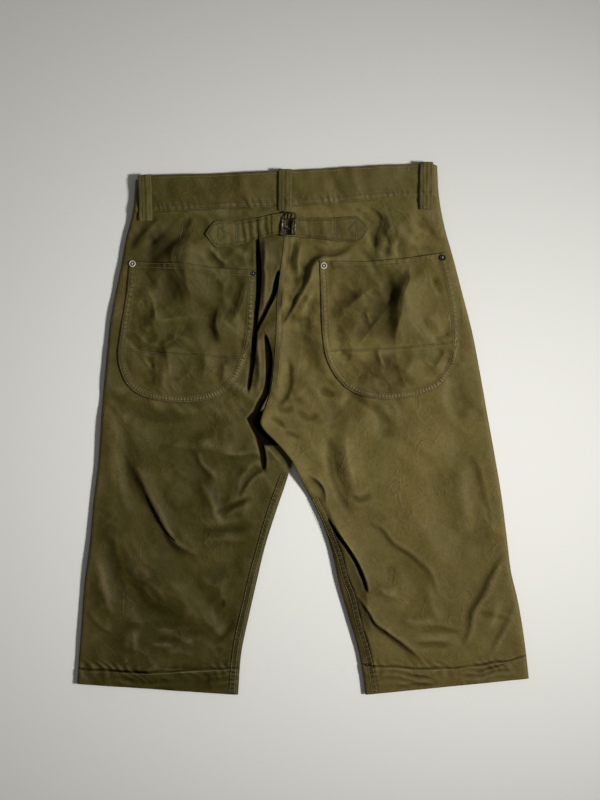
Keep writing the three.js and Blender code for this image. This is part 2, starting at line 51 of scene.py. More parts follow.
def new_material(name):
    """A material with nothing set yet, its node tree and its shader."""
    material = bpy.data.materials.new(name)
    material.use_nodes = True
    return material, material.node_tree, material.node_tree.nodes["Principled BSDF"]


board_mesh = bpy.data.meshes.new("board")
half = BOARD_SIZE / 2
board_mesh.from_pydata([(-half, -half, 0), (half, -half, 0), (half, half, 0), (-half, half, 0)], [],
                       [(0, 1, 2, 3)])
board = bpy.data.objects.new("board", board_mesh)
bpy.context.scene.collection.objects.link(board)
board_paint, _, board_shader = new_material("board paper")
board_shader.inputs["Base Color"].default_value = BOARD_COLOUR
board_shader.inputs["Roughness"].default_value = 0.9
board_shader.inputs["Specular IOR Level"].default_value = 0.2
board.data.materials.append(board_paint)

camera_data = bpy.data.cameras.new("camera")
camera_data.sensor_width = SENSOR
camera_data.lens = SENSOR * CAMERA_HEIGHT / VIEW_TALL
camera_data.clip_end = 20
camera = bpy.data.objects.new("camera", camera_data)
camera.location = (*VIEW_CENTRE, CAMERA_HEIGHT)
bpy.context.scene.collection.objects.link(camera)
bpy.context.scene.camera = camera


def soft_light(name, place, towards, size, watts, colour, spread=180):
    """A square area light at a place in metres, turned towards a point, its beam so many degrees
    wide."""
    data = bpy.data.lights.new(name, "AREA")
    data.shape = "SQUARE"
    data.size = size
    data.energy = watts
    data.color = colour
    data.spread = math.radians(spread)
    lamp = bpy.data.objects.new(name, data)
    way = np.array(towards, float) - np.array(place, float)
    lamp.location = place
    lamp.rotation_euler = (0, math.acos(-way[2] / np.linalg.norm(way)), math.atan2(-way[1], -way[0]))
    bpy.context.scene.collection.objects.link(lamp)


soft_light("window", place=(2.15, -0.12, 2.15), towards=(0.02, -0.03, 0), size=0.42, watts=5.1,
           colour=(1.0, 0.985, 0.95), spread=39)
soft_light("far wall", place=(-1.4, 0.4, 1.9), towards=(0, 0, 0), size=1.6, watts=0.9,
           colour=(1.0, 0.99, 0.95))

sky = bpy.data.worlds.new("room")
sky.use_nodes = True
sky.node_tree.nodes["Background"].inputs["Color"].default_value = (1.0, 0.99, 0.96, 1)
sky.node_tree.nodes["Background"].inputs["Strength"].default_value = 0.12
bpy.context.scene.world = sky
bpy.context.scene.view_settings.view_transform = "Standard"

# ---- Back panels ----
# Two pieces of heavy waxed cotton, each one half of the seat and the back of one leg, joined down
# the middle by a felled seam. They lie on the fronts with the folds they were put down with, and
# their side edges roll over to meet them. The hems are turned up from the same cloth.
MM = 0.001                 # a millimetre in metres
CLOTH = 1.2                # thickness of the cloth in millimetres, the unit of every size below
EDGE_HEIGHT = 9.0          # height of the outer face near the panel's edges
INNER_HEIGHT = 7.0         # its height in the middle of a panel, folds left out
INLAND = 45.0              # how far in from the edges the middle's height is reached
HEM_HEIGHT = 7.5           # its height at the hems
HEM_DEPTH = 30.0
LEAST_LAYERS = 3.4         # the cloth beneath, which no fold goes below
FOLD_STRENGTH = 1.3
WAIST_CALM_Y = 268.0       # above this the waistband holds the folds down
WAIST_CALM = 22.0          # and over this distance they die away
CURL = 6.0                 # how far in an edge starts to roll over
FLAP_TOP, FLAP_FOOT = 14.6, 13.2   # the right panel's free edge over the crotch
UNDER_FLAP = 4.2           # the left panel's height beneath it
MIDDLE = 4.5               # height at which back and front meet at an edge
CROTCH = (-14.0, -43.0)
FELL_MIDDLE = 4.4          # middle of the inside leg seam's felled edge, on from the seam
FELL_FAR = 7.5             # its outer row of thread
FELL_RIBS = (3.0, 6.0)     # half the length of the ribs across it, and their pitch

# Outline of the laid-out garment: y and x of points down each edge.
LEFT_SIDE = [(350, -221), (332, -222), (287, -226), (251, -235), (218, -241), (147, -255), (91, -261),
             (25, -267), (-48, -272), (-97, -278), (-152, -283), (-206, -290), (-261, -294), (-314, -298),
             (-345, -300)]
RIGHT_SIDE = [(355, 178), (306, 181), (260, 190), (232, 198), (182, 211), (127, 225), (75, 235),
              (18, 245), (-32, 254), (-92, 264), (-147, 271), (-193, 277), (-222, 284), (-254, 290),
              (-288, 295), (-332, 300)]
CENTRE_SEAM = [(343, -24), (292, -22), (251, -21), (222, -25), (180, -30), (125, -34), (83, -36.5),
               (45, -44), (18, -54), (7, -56), (-3, -50), (-13, -40), (-28, -26), (-43, -14)]
LEFT_INSIDE = [(-43, -14), (-70, -22), (-108, -35), (-152, -49), (-206, -62), (-255, -73), (-293, -81),
               (-353, -86)]
RIGHT_INSIDE = [(-43, -14), (-70, -1), (-97, 13), (-125, 26), (-165, 39), (-206, 48), (-244, 59),
                (-288, 72), (-323, 79), (-354, 83)]
LEFT_WAIST_Y, CENTRE_WAIST_Y, RIGHT_WAIST_Y = 287.0, 290.0, 306.0
LEFT_HEM_Y, INSIDE_HEM_Y, RIGHT_HEM_Y = -338.0, -352.5, -331.0

# Sewn lines of the back: the tops of the hems, the inside leg seams, and a dart at each side.
HEM_LINES = {"L": [(-303, -317), (-250, -321), (-206, -323), (-150, -320), (-93, -317), (-80, -317)],
             "R": [(82, -313), (97, -314), (158, -318), (194, -317), (224, -314), (275, -306.5),
                   (304, -299)]}
LEFT_INSEAM = [(-30, -60), (-39, -84), (-49, -113), (-62, -157), (-73, -198), (-81, -233), (-91, -277),
               (-96, -312), (-98.5, -350)]
RIGHT_INSEAM = [(20, -90), (33, -118), (51, -163), (61, -198), (70, -222), (79, -260), (89, -293),
                (96, -326), (99.5, -350)]
DARTS = {"L": [(-157, 286), (-161, 262), (-171, 217)], "R": [(131, 226), (121, 262), (112, 296)]}
SEAM_ALLOWANCE = 7.0
SIDES = {"L": "left", "R": "right"}
OUTER_EDGE = {"L": LEFT_SIDE, "R": RIGHT_SIDE}
INNER_EDGE = {"L": LEFT_INSIDE, "R": RIGHT_INSIDE}
INSEAM = {"L": LEFT_INSEAM, "R": RIGHT_INSEAM}

# Folds of the back. Columns: which panels (L, R, or B for both), the points of the fold's line as
# x, y, its half width, its rise (down if negative), and its lean: how much narrower it is to the
# left of its line's way (negative: to the right).
FOLDS = [
    # long folds beside the centre seam, drawn together by the strap
    ("B", [(-51, 262), (-50, 220), (-50, 190), (-53, 160), (-57, 142)], 11, 7, -0.1),
    ("B", [(-56, 126), (-57, 100), (-58, 75), (-62, 45)], 8.5, 5, 0),
    ("B", [(-20, 262), (-25, 215), (-27, 185), (-28, 150), (-29, 111), (-31, 85), (-36, 60), (-45, 30),
           (-52, 12)], 13, 3.4, 0.1),
    ("R", [(114, 290), (116, 270), (109, 250), (105, 226)], 8, 3.0, 0),
    ("R", [(-6, 252), (-10, 235), (-15, 222), (-19, 207)], 5, -3.2, 0),
    ("R", [(-8, 186), (-17, 164), (-23, 150), (-28, 132)], 5, -4.8, 0.3),
    ("R", [(-1, 225), (9, 228), (19, 234), (43, 236), (68, 245)], 8, -3.8, 0),
    ("R", [(72, 240), (43, 231), (25, 227.5), (14, 217), (6.5, 200), (-1.5, 184), (-14, 163), (-23, 146)],
     8, 5, -0.3),
    ("R", [(12, 188), (4, 169), (-2, 153)], 6.5, 2.2, 0),
    ("R", [(2, 250), (-4, 224), (-11, 191)], 6, 2.4, 0),
    ("R", [(15, 182), (10.5, 159), (2.5, 139), (0, 118), (2, 98)], 9, -2.8, 0),
    ("R", [(-24, 98), (-21, 80), (-20.5, 61), (-23, 45), (-30, 33), (-40, 26)], 6.5, -4, 0.3),
    ("R", [(2, 104), (-4, 64), (-10, 38)], 20, 1.7, 0),
    ("R", [(-36, 26), (-23, 26.5), (-10, 30)], 4, -1.7, 0),
    ("R", [(-9, 27), (5, 17), (22, 15.5)], 5, -2, 0),
    ("R", [(-43, 19), (-38, 13), (-27, 8), (-18, 2)], 4, -1.9, 0),
    ("R", [(-24, -6), (-14, -3.5), (-3, -11)], 4, -1.6, 0),
    ("R", [(18, 53), (32, 48.6), (46, 43)], 5, -2.2, 0),
    # above the left pocket
    ("L", [(-180, 284), (-204, 263), (-229, 234)], 15, 4.2, -0.5),
    ("L", [(-206, 270), (-220, 254), (-233, 238)], 7, -2.5, 0),
    ("L", [(-158, 268), (-180, 246), (-198, 228), (-204, 208)], 11, -4.0, 0),
    ("L", [(-148, 283), (-158, 268), (-168, 258)], 5, -2.6, 0),
    ("L", [(-148, 276), (-152, 240), (-156, 212), (-151, 188), (-142, 162)], 24, 5.6, -0.3),
    ("L", [(-176, 218), (-180, 190), (-190, 165), (-205, 150)], 12, -3.0, 0),
    ("L", [(-130, 243), (-115, 226), (-100, 210)], 6, -2.8, 0.3),
    ("L", [(-96, 240), (-84, 230), (-70, 226)], 12, 2.6, 0),
    # above the right pocket
    ("R", [(63, 295), (84, 283), (101, 276)], 4.5, -3.8, 0),
    ("R", [(92, 298), (105, 284), (104, 272), (97, 254), (96, 226)], 6, -5.5, 0.2),
    ("R", [(122, 294), (124, 262), (118, 230), (122, 206)], 13, 4.2, -0.3),
    ("R", [(122, 262), (128, 238), (134, 214)], 8, -3.6, 0),
    ("R", [(140, 292), (160, 276), (186, 243)], 10, -2.8, 0.2),
    ("R", [(150, 290), (172, 266), (190, 246)], 13, 3.6, -0.3),
    ("R", [(60, 292), (72, 286), (88, 284)], 9, 2, 0),
    # in the left pocket
    ("L", [(-112, 164), (-112.5, 150), (-115, 135), (-109, 116), (-100, 100)], 11, 3.0, -0.4),
    ("L", [(-77, 204), (-79, 188), (-87, 160), (-95, 133)], 11, 3.6, -0.4),
    ("L", [(-128, 172), (-126, 150), (-124, 128), (-118, 108)], 10, -1.6, 0),
    ("L", [(-213, 134), (-210, 124), (-205, 113)], 5, -2.4, -0.4),
    ("L", [(-234, 130), (-225, 116), (-214, 104)], 5, -2.6, -0.4),
    ("L", [(-213, 101), (-206, 92), (-200, 80)], 5, -2.2, -0.4),
    ("L", [(-198, 142), (-174, 146), (-148, 147)], 6, 1.7, 0),
    ("L", [(-216, 196), (-206, 180), (-198, 158), (-194, 130)], 11, 3.0, -0.3),
    ("L", [(-186, 122), (-180, 96), (-176, 66)], 13, 2.8, -0.3),
    ("L", [(-134, 104), (-130, 84), (-134, 58)], 12, 2.4, -0.3),
    ("L", [(-108, 96), (-102, 78), (-110, 58)], 13, 3.0, -0.4),
    ("L", [(-152, 118), (-146, 90), (-140, 70)], 9, -2.0, 0),
    ("L", [(-226, 190), (-230, 166), (-233, 140)], 7, -1.8, 0),
    # in the right pocket
    ("R", [(144, 218), (141.5, 203), (134, 180), (128, 164), (127, 148), (126, 122), (128, 100)],
     20, 4.2, -0.45),
    ("R", [(118, 232), (120, 206), (117, 182), (110, 160), (96, 140), (80, 120), (62, 105)], 10, -3.2, 0.1),
    ("R", [(99, 192), (90, 182), (70, 168), (44, 141)], 13, 3.2, -0.3),
    ("R", [(50, 196), (48, 176), (46, 158)], 9, -2.6, 0),
    ("R", [(80, 160), (84, 148), (88, 136)], 9, 2.4, -0.4),
    ("R", [(98, 112), (101, 100), (111, 79)], 6, 2.4, -0.2),
    ("R", [(48, 104), (55, 97), (64, 91)], 5, -3.0, 0),
    ("R", [(84, 92), (80, 76), (84, 58)], 11, -2.0, 0),
    ("R", [(171, 205), (176, 188), (183, 174)], 6, -2.4, -0.4),
    ("R", [(198, 134), (186, 125), (170, 118)], 5, -2.0, 0),
    ("R", [(150, 104), (142, 84), (130, 62)], 16, 2.6, -0.3),
    ("R", [(190, 108), (184, 92), (172, 74)], 8, 2.0, -0.3),
    # left leg
    ("L", [(-246, 22), (-190, 6), (-130, 4), (-90, 10)], 16, -3.6, 0),
    ("L", [(-150, -14), (-111, -20), (-80, -24)], 18, 3.0, 0),
    ("L", [(-262, 60), (-258, 20), (-255, -46), (-251, -84), (-250, -124)], 17, 3.2, 0),
    ("L", [(-236, -10), (-228, -46), (-221, -74), (-206, -110)], 12, -3.6, 0),
    ("L", [(-45, -55), (-65, -57), (-79, -70), (-86, -92)], 6, -4.2, 0.2),
    ("L", [(-117, -115), (-98, -107), (-80, -98), (-66, -92)], 5, -2.6, 0),
    ("L", [(-160, -127), (-126, -138), (-93, -138), (-63, -134)], 8, -2.8, 0),
    ("L", [(-134, -66), (-122, -89), (-116, -112)], 11, 3.2, -0.2),
    ("L", [(-110, -84), (-104, -112), (-108, -126)], 8, -2.4, 0),
    ("L", [(-90, -60), (-76, -100), (-84, -130)], 14, 1.8, 0),
    ("L", [(-269, -140), (-255, -160), (-249, -191), (-226, -216), (-200, -237), (-167, -252),
           (-137, -262)], 15, -4.4, 0),
    ("L", [(-215, -150), (-206, -190), (-180, -226), (-146, -244)], 24, 3.6, 0),
    ("L", [(-277, -155), (-268, -191), (-261, -229), (-249, -252)], 11, 3.4, 0),
    ("L", [(-230, -262), (-232, -280), (-236, -300)], 12, 1.6, 0),
    ("L", [(-121, -244), (-111, -236), (-100, -226)], 5, -2.4, 0),
    ("L", [(-88, -250), (-97, -264), (-107, -276), (-124, -284)], 7, -2.4, 0),
    ("L", [(-200, -284), (-180, -280), (-150, -281)], 5, -1.5, 0),
    ("L", [(-188, -298), (-170, -295), (-140, -298)], 6, 1.6, 0),
    ("L", [(-182, -262), (-164, -268), (-128, -268)], 5, -1.4, 0),
    ("L", [(-140, -196), (-118, -206), (-96, -202)], 16, 2.0, 0),
    # right leg
    ("R", [(58, -4), (62, -43), (70, -78)], 17, 4.4, 0.1),
    ("R", [(30, -8), (36, -48), (48, -76), (56, -97), (68, -118)], 10, -4.6, -0.2),
    ("R", [(78, 34), (46, 8), (30, -8)], 13, -4.2, 0),
    ("R", [(62, -86), (74, -92), (92, -88)], 4.5, -2.2, 0),
    ("R", [(24, -92), (42, -124), (56, -152), (66, -176)], 9, 4.5, 0),
    ("R", [(118, -176), (121, -196), (117, -214)], 7, -1.4, 0),
    ("R", [(98, -212), (112, -218), (128, -216)], 6, 1.5, 0),
    ("R", [(140, -100), (160, -135), (190, -190)], 26, 2.8, 0),
    ("R", [(206, -40), (214, -90), (222, -140)], 20, 2.8, 0),
    ("R", [(238, -86), (244, -120), (262, -150)], 9, 2.2, 0),
    ("R", [(160, -196), (170, -232), (186, -262)], 18, 2.2, 0),
    ("R", [(256, -220), (248, -250), (236, -276)], 12, 2.4, 0),
    ("R", [(135, -284), (165, -288), (205, -288)], 5, -2.0, 0),
    ("R", [(150, -268), (180, -266), (214, -272)], 5, -1.8, 0),
    ("R", [(140, -276), (170, -278), (200, -278)], 6, 1.6, 0),
    ("R", [(226, -242), (246, -248), (272, -250)], 5, -1.8, 0),
    ("R", [(128, -250), (150, -256), (176, -250)], 7, 1.6, 0),
    ("R", [(108, 10), (150, -20), (200, -50)], 30, 2.4, 0),
    ("R", [(106, 26), (110, 6), (110, -14)], 9, -2.2, 0),
    # wrinkles over the hems
    ("L", [(-198, -265), (-175, -266), (-151, -266)], 4, 1.3, 0),
    ("L", [(-200, -286), (-186, -287), (-171, -286)], 4, 1.2, 0),
    ("L", [(-172, -279), (-158, -281), (-146, -281)], 4, 1.2, 0),
    ("L", [(-222, -262), (-221, -285), (-220, -306)], 8, 1.8, 0),
    ("L", [(-239, -298), (-236, -306), (-234, -314)], 6, 1.4, 0),
    ("R", [(140, -282), (172, -283), (207, -285)], 4, 1.3, 0),
    ("R", [(233, -247), (260, -248), (286, -249)], 4, 1.3, 0),
]

# Deep folds whose bottoms lie on the cloth beneath. Columns: panels, points, half width.
CANYONS = [
    ("B", [(-60, 270), (-60.5, 240), (-58.5, 210), (-59.5, 180), (-61, 149), (-63, 128), (-65.5, 106),
           (-68, 80), (-71.5, 55), (-75, 36)], 2.7),
    ("B", [(-32, 216), (-35, 197), (-38.5, 179), (-45, 164), (-51, 149), (-57, 137), (-63, 122)], 2.1),
    ("B", [(-51, 132), (-47, 118), (-45, 93), (-45.5, 68), (-49, 48), (-56, 34), (-63, 18), (-66, 4),
           (-63, -8)], 3.2),
    ("L", [(-62, 8), (-59, -6), (-55.5, -20), (-53, -36), (-52, -58)], 3.2),
    ("L", [(-209, -84), (-203, -99), (-190, -124), (-176, -143), (-166, -152)], 0.45),
    ("R", [(30, -114), (46, -140), (61, -162), (74, -184), (83, -208), (86, -224)], 1.4),
]
# The hollow beside the crotch, where the deep folds run out: y and x of its left side.
BASIN_LEFT = [(-40, -26, -18, -10, 0, 10, 14, 20, 26), (-50, -53, -56.5, -61.5, -67, -72.5, -73.5, -68, -62)]

# Sharp creases, where the cloth on one side stands over that on the other. Columns: panel, points
# (the high side is on the left of the line's way, so to the right of one that runs down), how far
# the high side reaches, how high it stands, how far the low side dips, and the width of the join.
CREASES = [
    ("L", [(-224, -40), (-212, -74), (-203, -99), (-190, -125), (-177, -143), (-165, -154), (-146, -163),
           (-128, -168)], 30, 4.4, 1.8, 2.6),
    ("L", [(-116, -28), (-93, -33), (-65, -36), (-46, -43)], 20, 2.4, 0.6, 2.4),
    ("L", [(-143, -24), (-134, -46), (-114, -64)], 18, 2.4, 0.8, 2.4),
    ("L", [(-287, -237), (-271, -259), (-253, -273)], 12, 2.2, 0.6, 2.4),
    ("R", [(29, -111), (46, -138), (60, -158), (72, -180), (81, -203), (86, -224)], 20, 8.0, 2.5, 1.3),
    ("R", [(62, -212), (79, -236), (97, -259), (117, -272), (138, -290), (164, -313)], 20, 5.4, 1.4, 1.1),
    ("R", [(273, -156), (250, -196), (237, -221), (224, -247), (220, -275), (208, -304)],
     20, 3.4, 1.2, 2.4),
    ("R", [(282, -214), (275, -247), (260, -277), (240, -318)], 14, 2.4, 0.8, 2.4),
    ("R", [(2, -56), (14, -66), (24, -78), (27, -92), (30, -108)], 14, 4.2, 1.6, 1.5),
    ("R", [(77, -118), (102, -130), (122, -150), (143, -165), (158, -183), (173, -206), (180, -226)],
     26, 2.4, 1.0, 2.4),
    ("R", [(222, -32), (237, -69), (247, -104), (252, -142)], 14, 2.0, 0.6, 2.4),
    ("R", [(138, -325), (170, -328), (186, -334)], 6, 2.4, 1.4, 1.2),
    ("R", [(120, -341), (149, -337), (180, -337)], 6, 2.4, 1.4, 1.2),
    ("R", [(233, -331), (244, -320), (260, -317), (276, -307)], 9, 3.0, 1.6, 1.4),
    ("L", [(-124, -318), (-150, -319), (-188, -319)], 5, 2.4, 1.4, 1.2),
    ("L", [(-122, -347), (-119, -334), (-117, -320)], 9, 2.4, 1.4, 1.4),
]

# Painted shade laid into the cloth's colour beside folds and creases, and painted light where the
# strength is negative. Columns: panel, points (the dark side is on the right of the line's way, so
# to the left of one that runs down), how far it reaches, and how dark it is (negative: how much
# paler than the rest).
SHADES = [
    # beside the right inside leg seam, and in the broad folds of the left leg
    ("R", [(20, -90), (33, -118), (51, -163), (61, -198), (70, -222), (79, -260), (89, -293), (96, -326),
           (99, -354)], 20, 1.0),
    ("L", [(-241, -16), (-228, -44), (-219, -66), (-211, -84)], 10, 0.5),
    ("L", [(-262, -108), (-252, -148), (-240, -190), (-230, -240)], 15, 0.45),
    ("L", [(-164, -140), (-112, -149), (-64, -149)], 9, 0.4),
    ("L", [(-200, -22), (-130, -28), (-56, -38)], 12, 0.35),
    ("L", [(-116, -66), (-114, -96), (-122, -124)], 17, 0.45),
    ("L", [(-250, -254), (-180, -256), (-110, -262)], 13, 0.35),
    ("L", [(-96, -176), (-106, -210), (-112, -246)], 20, 0.35),
    ("L", [(-205, -176), (-182, -214), (-150, -240)], 16, 0.4),
    # the left half of the right pocket, and the cloth round the pockets
    ("R", [(143, 220), (140, 198), (131, 174), (126, 150), (124, 122), (120, 100)], 82, 0.8),
    ("R", [(119, 110), (126, 84), (140, 52)], 64, 0.7),
    ("L", [(-86, 176), (-96, 150), (-104, 122), (-100, 96), (-108, 66)], 24, 0.30),
    ("R", [(24, 150), (22, 110), (30, 76), (52, 48)], 14, 0.35),
    ("R", [(5, 232), (3, 214), (-3, 198), (-11, 180), (-20, 162)], 7, 0.8),
    ("R", [(-5, 254), (-12, 236), (-18, 212)], 5, 0.6),
    ("R", [(88, 298), (104, 286), (105, 274), (99, 256), (99, 226)], 6, 1.1),
    ("R", [(106, 276), (113, 256), (122, 232), (130, 210)], 10, 0.85),
    ("R", [(-10, 176), (-4, 150), (-2, 118), (-8, 70)], 12, 0.3),
    ("R", [(60, 292), (84, 281), (100, 272)], 6, 0.5),
    # folds of the left pocket and above it
    ("L", [(-160, 262), (-172, 236), (-168, 208), (-156, 190), (-143, 162)], 42, 0.95),
    ("L", [(-200, 158), (-208, 134), (-220, 108)], 22, 0.7),
    ("L", [(-111, 166), (-114, 148), (-116, 130), (-109, 112)], 7, 1.0),
    ("L", [(-72, 206), (-76, 186), (-84, 160), (-92, 138)], 12, 0.9),
    ("L", [(-124, 236), (-108, 222), (-96, 212)], 6, 0.6),
    ("L", [(-166, 276), (-190, 250), (-206, 236)], 12, 0.5),
    ("L", [(-196, 262), (-222, 236), (-238, 206)], 16, 0.4),
    ("L", [(-206, 108), (-182, 112), (-160, 124), (-146, 148)], 16, 0.6),
    ("L", [(-148, 100), (-156, 74), (-166, 50)], 16, 0.5),
    # folds of the right pocket
    ("R", [(139, 222), (141, 208), (140, 196), (130, 174), (126, 152), (125.5, 124)], 12, 0.6),
    ("R", [(116, 172), (102, 145), (86, 125), (66, 106)], 12, 0.8),
    ("R", [(84, 186), (66, 164), (45, 141)], 12, 0.5),
    ("R", [(118, 100), (112, 76), (104, 56)], 16, 0.3),
    ("R", [(66, 96), (54, 98), (44, 108)], 8, 0.5),
    ("R", [(184, 206), (176, 182), (182, 160)], 8, 0.35),
    # creases of the left leg
    ("L", [(-226, -30), (-213, -74), (-203, -99), (-190, -125), (-177, -143), (-165, -154), (-142, -165)],
     13, 0.6),
    ("L", [(-250, -132), (-244, -170), (-226, -202), (-200, -226), (-160, -246)], 17, 0.35),
    ("L", [(-252, 20), (-246, -40), (-240, -90), (-238, -130)], 15, 0.25),
    ("L", [(-70, -52), (-82, -64), (-88, -88)], 8, 1.0),
    ("L", [(-66, -92), (-92, -104), (-117, -116)], 7, 0.5),
    ("L", [(-108, -40), (-124, -70), (-120, -108)], 14, 0.25),
    ("L", [(-62, -132), (-96, -138), (-140, -134)], 9, 0.4),
    ("L", [(-150, 12), (-196, 10), (-236, 20)], 16, 0.4),
    # creases of the right leg
    ("R", [(29, -108), (46, -138), (60, -158), (72, -180), (81, -203), (87, -236), (92, -290)], 20, 0.95),
    ("R", [(62, -212), (79, -236), (97, -259), (117, -272), (138, -290), (164, -313)], 9, 0.75),
    ("R", [(2, -56), (14, -66), (24, -78), (27, -92), (30, -108)], 9, 0.6),
    ("R", [(33, -30), (40, -60), (54, -88), (70, -116)], 12, 0.5),
    ("R", [(273, -156), (250, -196), (237, -221), (224, -247), (218, -275)], 9, 0.5),
    ("R", [(216, -20), (236, -60), (248, -104), (252, -150)], 9, 0.45),
    ("R", [(77, -118), (102, -130), (122, -150), (143, -165), (158, -183), (173, -206), (180, -226)],
     10, 0.35),
    ("R", [(112, -178), (116, -196), (112, -214)], 6, 0.45),
    ("R", [(60, 30), (40, 12), (16, 4)], 12, 0.35),
    # wrinkles over the hems
    ("R", [(276, -307), (260, -317), (244, -320), (233, -331)], 6, 0.9),
    ("R", [(138, -325), (170, -328), (186, -334)], 3.5, 0.6),
    ("R", [(120, -341), (149, -337), (180, -337)], 4, 0.6),
    ("L", [(-272, -315), (-245, -319), (-226, -320)], 4, 0.5),
    ("L", [(-226, -319), (-215, -321), (-204, -320)], 5, 0.6),
    ("L", [(-124, -316), (-150, -318), (-188, -318)], 4, 0.7),
    ("L", [(-117, -318), (-119, -334), (-122, -350)], 11, 0.8),
    ("L", [(-262, -320), (-263, -346)], 12, 0.45),
    # painted light in paler places, and painted shade over the whole left hem
    ("L", [(-76, 158), (-77, 130), (-82, 100)], 26, -0.2),
    ("L", [(-314, -262), (-304, -130), (-292, -10)], 165, -0.08),
    ("R", [(122, 100), (126, 150), (134, 180), (144, 212)], 60, -0.2),
    ("L", [(-120, 206), (-126, 184), (-136, 164)], 24, -0.15),
    ("L", [(-280, -316), (-180, -324), (-90, -320)], 28, 0.42),
]


def ease(t):
    """0 below 0, 1 above 1, and an even slope-free rise between: 3t^2 - 2t^3."""
    t = np.clip(t, 0.0, 1.0)
    return t * t * (3 - 2 * t)


def bell(distance, width):
    """1 at a distance of 0, fading evenly to both sides: exp(-(distance / width)^2)."""
    return np.exp(-(distance / width) ** 2)


def edge_x(points, y):
    """x of an edge at heights y: cubic pieces through the points, whose slopes at each point are
    those of the chord between its neighbours."""
    ys, xs = np.array(points[::-1], float).T
    slopes = np.gradient(xs, ys)
    y = np.clip(y, ys[0] - 30, ys[-1] + 30)
    k = np.clip(np.searchsorted(ys, y) - 1, 0, len(ys) - 2)
    span = ys[k + 1] - ys[k]
    t = (y - ys[k]) / span
    return (xs[k] * (1 + 2 * t) * (1 - t) ** 2 + xs[k + 1] * t * t * (3 - 2 * t)
            + span * t * (1 - t) * (slopes[k] * (1 - t) - slopes[k + 1] * t))


def from_line(points, x, y):
    """Signed distance from each point to a bent line (positive to the left of its way), and how
    far along the line the nearest place is, in millimetres."""
    line = np.array(points, float)
    best = np.full(x.shape, 1e9)
    side = np.zeros(x.shape)
    along = np.zeros(x.shape)
    gone = 0.0
    for a, b in zip(line[:-1], line[1:]):
        way = b - a
        length = np.hypot(*way)
        t = np.clip(((x - a[0]) * way[0] + (y - a[1]) * way[1]) / length ** 2, 0, 1)
        off_x, off_y = x - a[0] - t * way[0], y - a[1] - t * way[1]
        distance = np.hypot(off_x, off_y)
        nearer = distance < best
        best = np.where(nearer, distance, best)
        side = np.where(nearer, np.sign(way[0] * off_y - way[1] * off_x), side)
        along = np.where(nearer, gone + t * length, along)
        gone += length
    return best * np.where(side == 0, 1, side), along, gone


def smooth_line(points, step=6.0):
    """A curve through the points, as cubic pieces of one step or so: Catmull and Rom's formula."""
    p = np.array(points, float)
    p = np.vstack([2 * p[0] - p[1], p, 2 * p[-1] - p[-2]])
    pieces = []
    for k in range(1, len(p) - 2):
        count = max(2, int(np.ceil(np.hypot(*(p[k + 1] - p[k])) / step)))
        t = np.linspace(0, 1, count, endpoint=False)[:, None]
        pieces.append(0.5 * (2 * p[k] + (p[k + 1] - p[k - 1]) * t
                             + (2 * p[k - 1] - 5 * p[k] + 4 * p[k + 1] - p[k + 2]) * t ** 2
                             + (3 * p[k] - p[k - 1] - 3 * p[k + 1] + p[k + 2]) * t ** 3))
    return np.vstack([*pieces, p[-2]])


def beside(points, distance):
    """A line a given distance to the left of a smooth curve through the points."""
    line = smooth_line(points, 4.0)
    way = unit(np.gradient(line, axis=0))
    return line + distance * np.stack([-way[:, 1], way[:, 0]], 1)


def inseam_row(side, distance):
    """A line on a leg at a distance from its inside seam."""
    return beside(INSEAM[side], distance if side == "L" else -distance)


def uneven(x, y, wave, seed, waves=14):
    """A smooth uneven field between about -1 and 1: the sum of sine waves of lengths near the one
    given, each with its own direction and start."""
    rng = np.random.default_rng(seed)
    total = np.zeros(np.shape(x))
    for _ in range(waves):
        angle, start = rng.uniform(0, 2 * np.pi, 2)
        number = 2 * np.pi / (wave * rng.uniform(0.7, 1.6))
        total += np.sin(number * (x * np.cos(angle) + y * np.sin(angle)) + start)
    return total / np.sqrt(waves)


def facets(x, y, cell, seed):
    """Height of sheet metal hammered into pits, in millimetres: the distance to the nearest of many
    scattered points, one to a cell of a grid, with the sharp joins between pits a little rounded."""
    jitter = np.random.default_rng(seed).uniform(0.08, 0.92, (40, 40, 2))
    across, up = x / cell, y / cell
    column, row = np.floor(across).astype(int), np.floor(up).astype(int)
    total = np.zeros(np.shape(across))
    for i in (-1, 0, 1):
        for j in (-1, 0, 1):
            spot = jitter[(column + i) % 40, (row + j) % 40]
            off_x, off_y = column + i + spot[..., 0] - across, row + j + spot[..., 1] - up
            total += np.exp(-28 * np.sqrt(off_x ** 2 + off_y ** 2 + 0.004))
    return -np.log(total) / 28 * cell


def crumples(x, y):
    """The unevenness of stiff waxed cloth: soft dents, and flat facets of three sizes that meet in
    creases, strong in some places and faint in others."""
    bent_x, bent_y = x + 5 * uneven(x, y, 80, 52), y + 5 * uneven(x, y, 80, 53)
    total = 0.8 * uneven(x, y, 105, 5) + 0.15 * uneven(x, y, 44, 6)
    turned_x, turned_y = 0.8 * bent_x + 0.6 * bent_y, 0.8 * bent_y - 0.6 * bent_x
    for cell, steep, seed in ((62, -0.21, 61), (43, 0.17, 62), (25, -0.17, 63), (14, 0.12, 64)):
        there = ease(0.55 + 0.75 * uneven(x, y, 110, seed + 10))
        total = total + steep * (facets(turned_x, turned_y * 0.72, cell, seed) - 0.38 * cell) * there
    return total


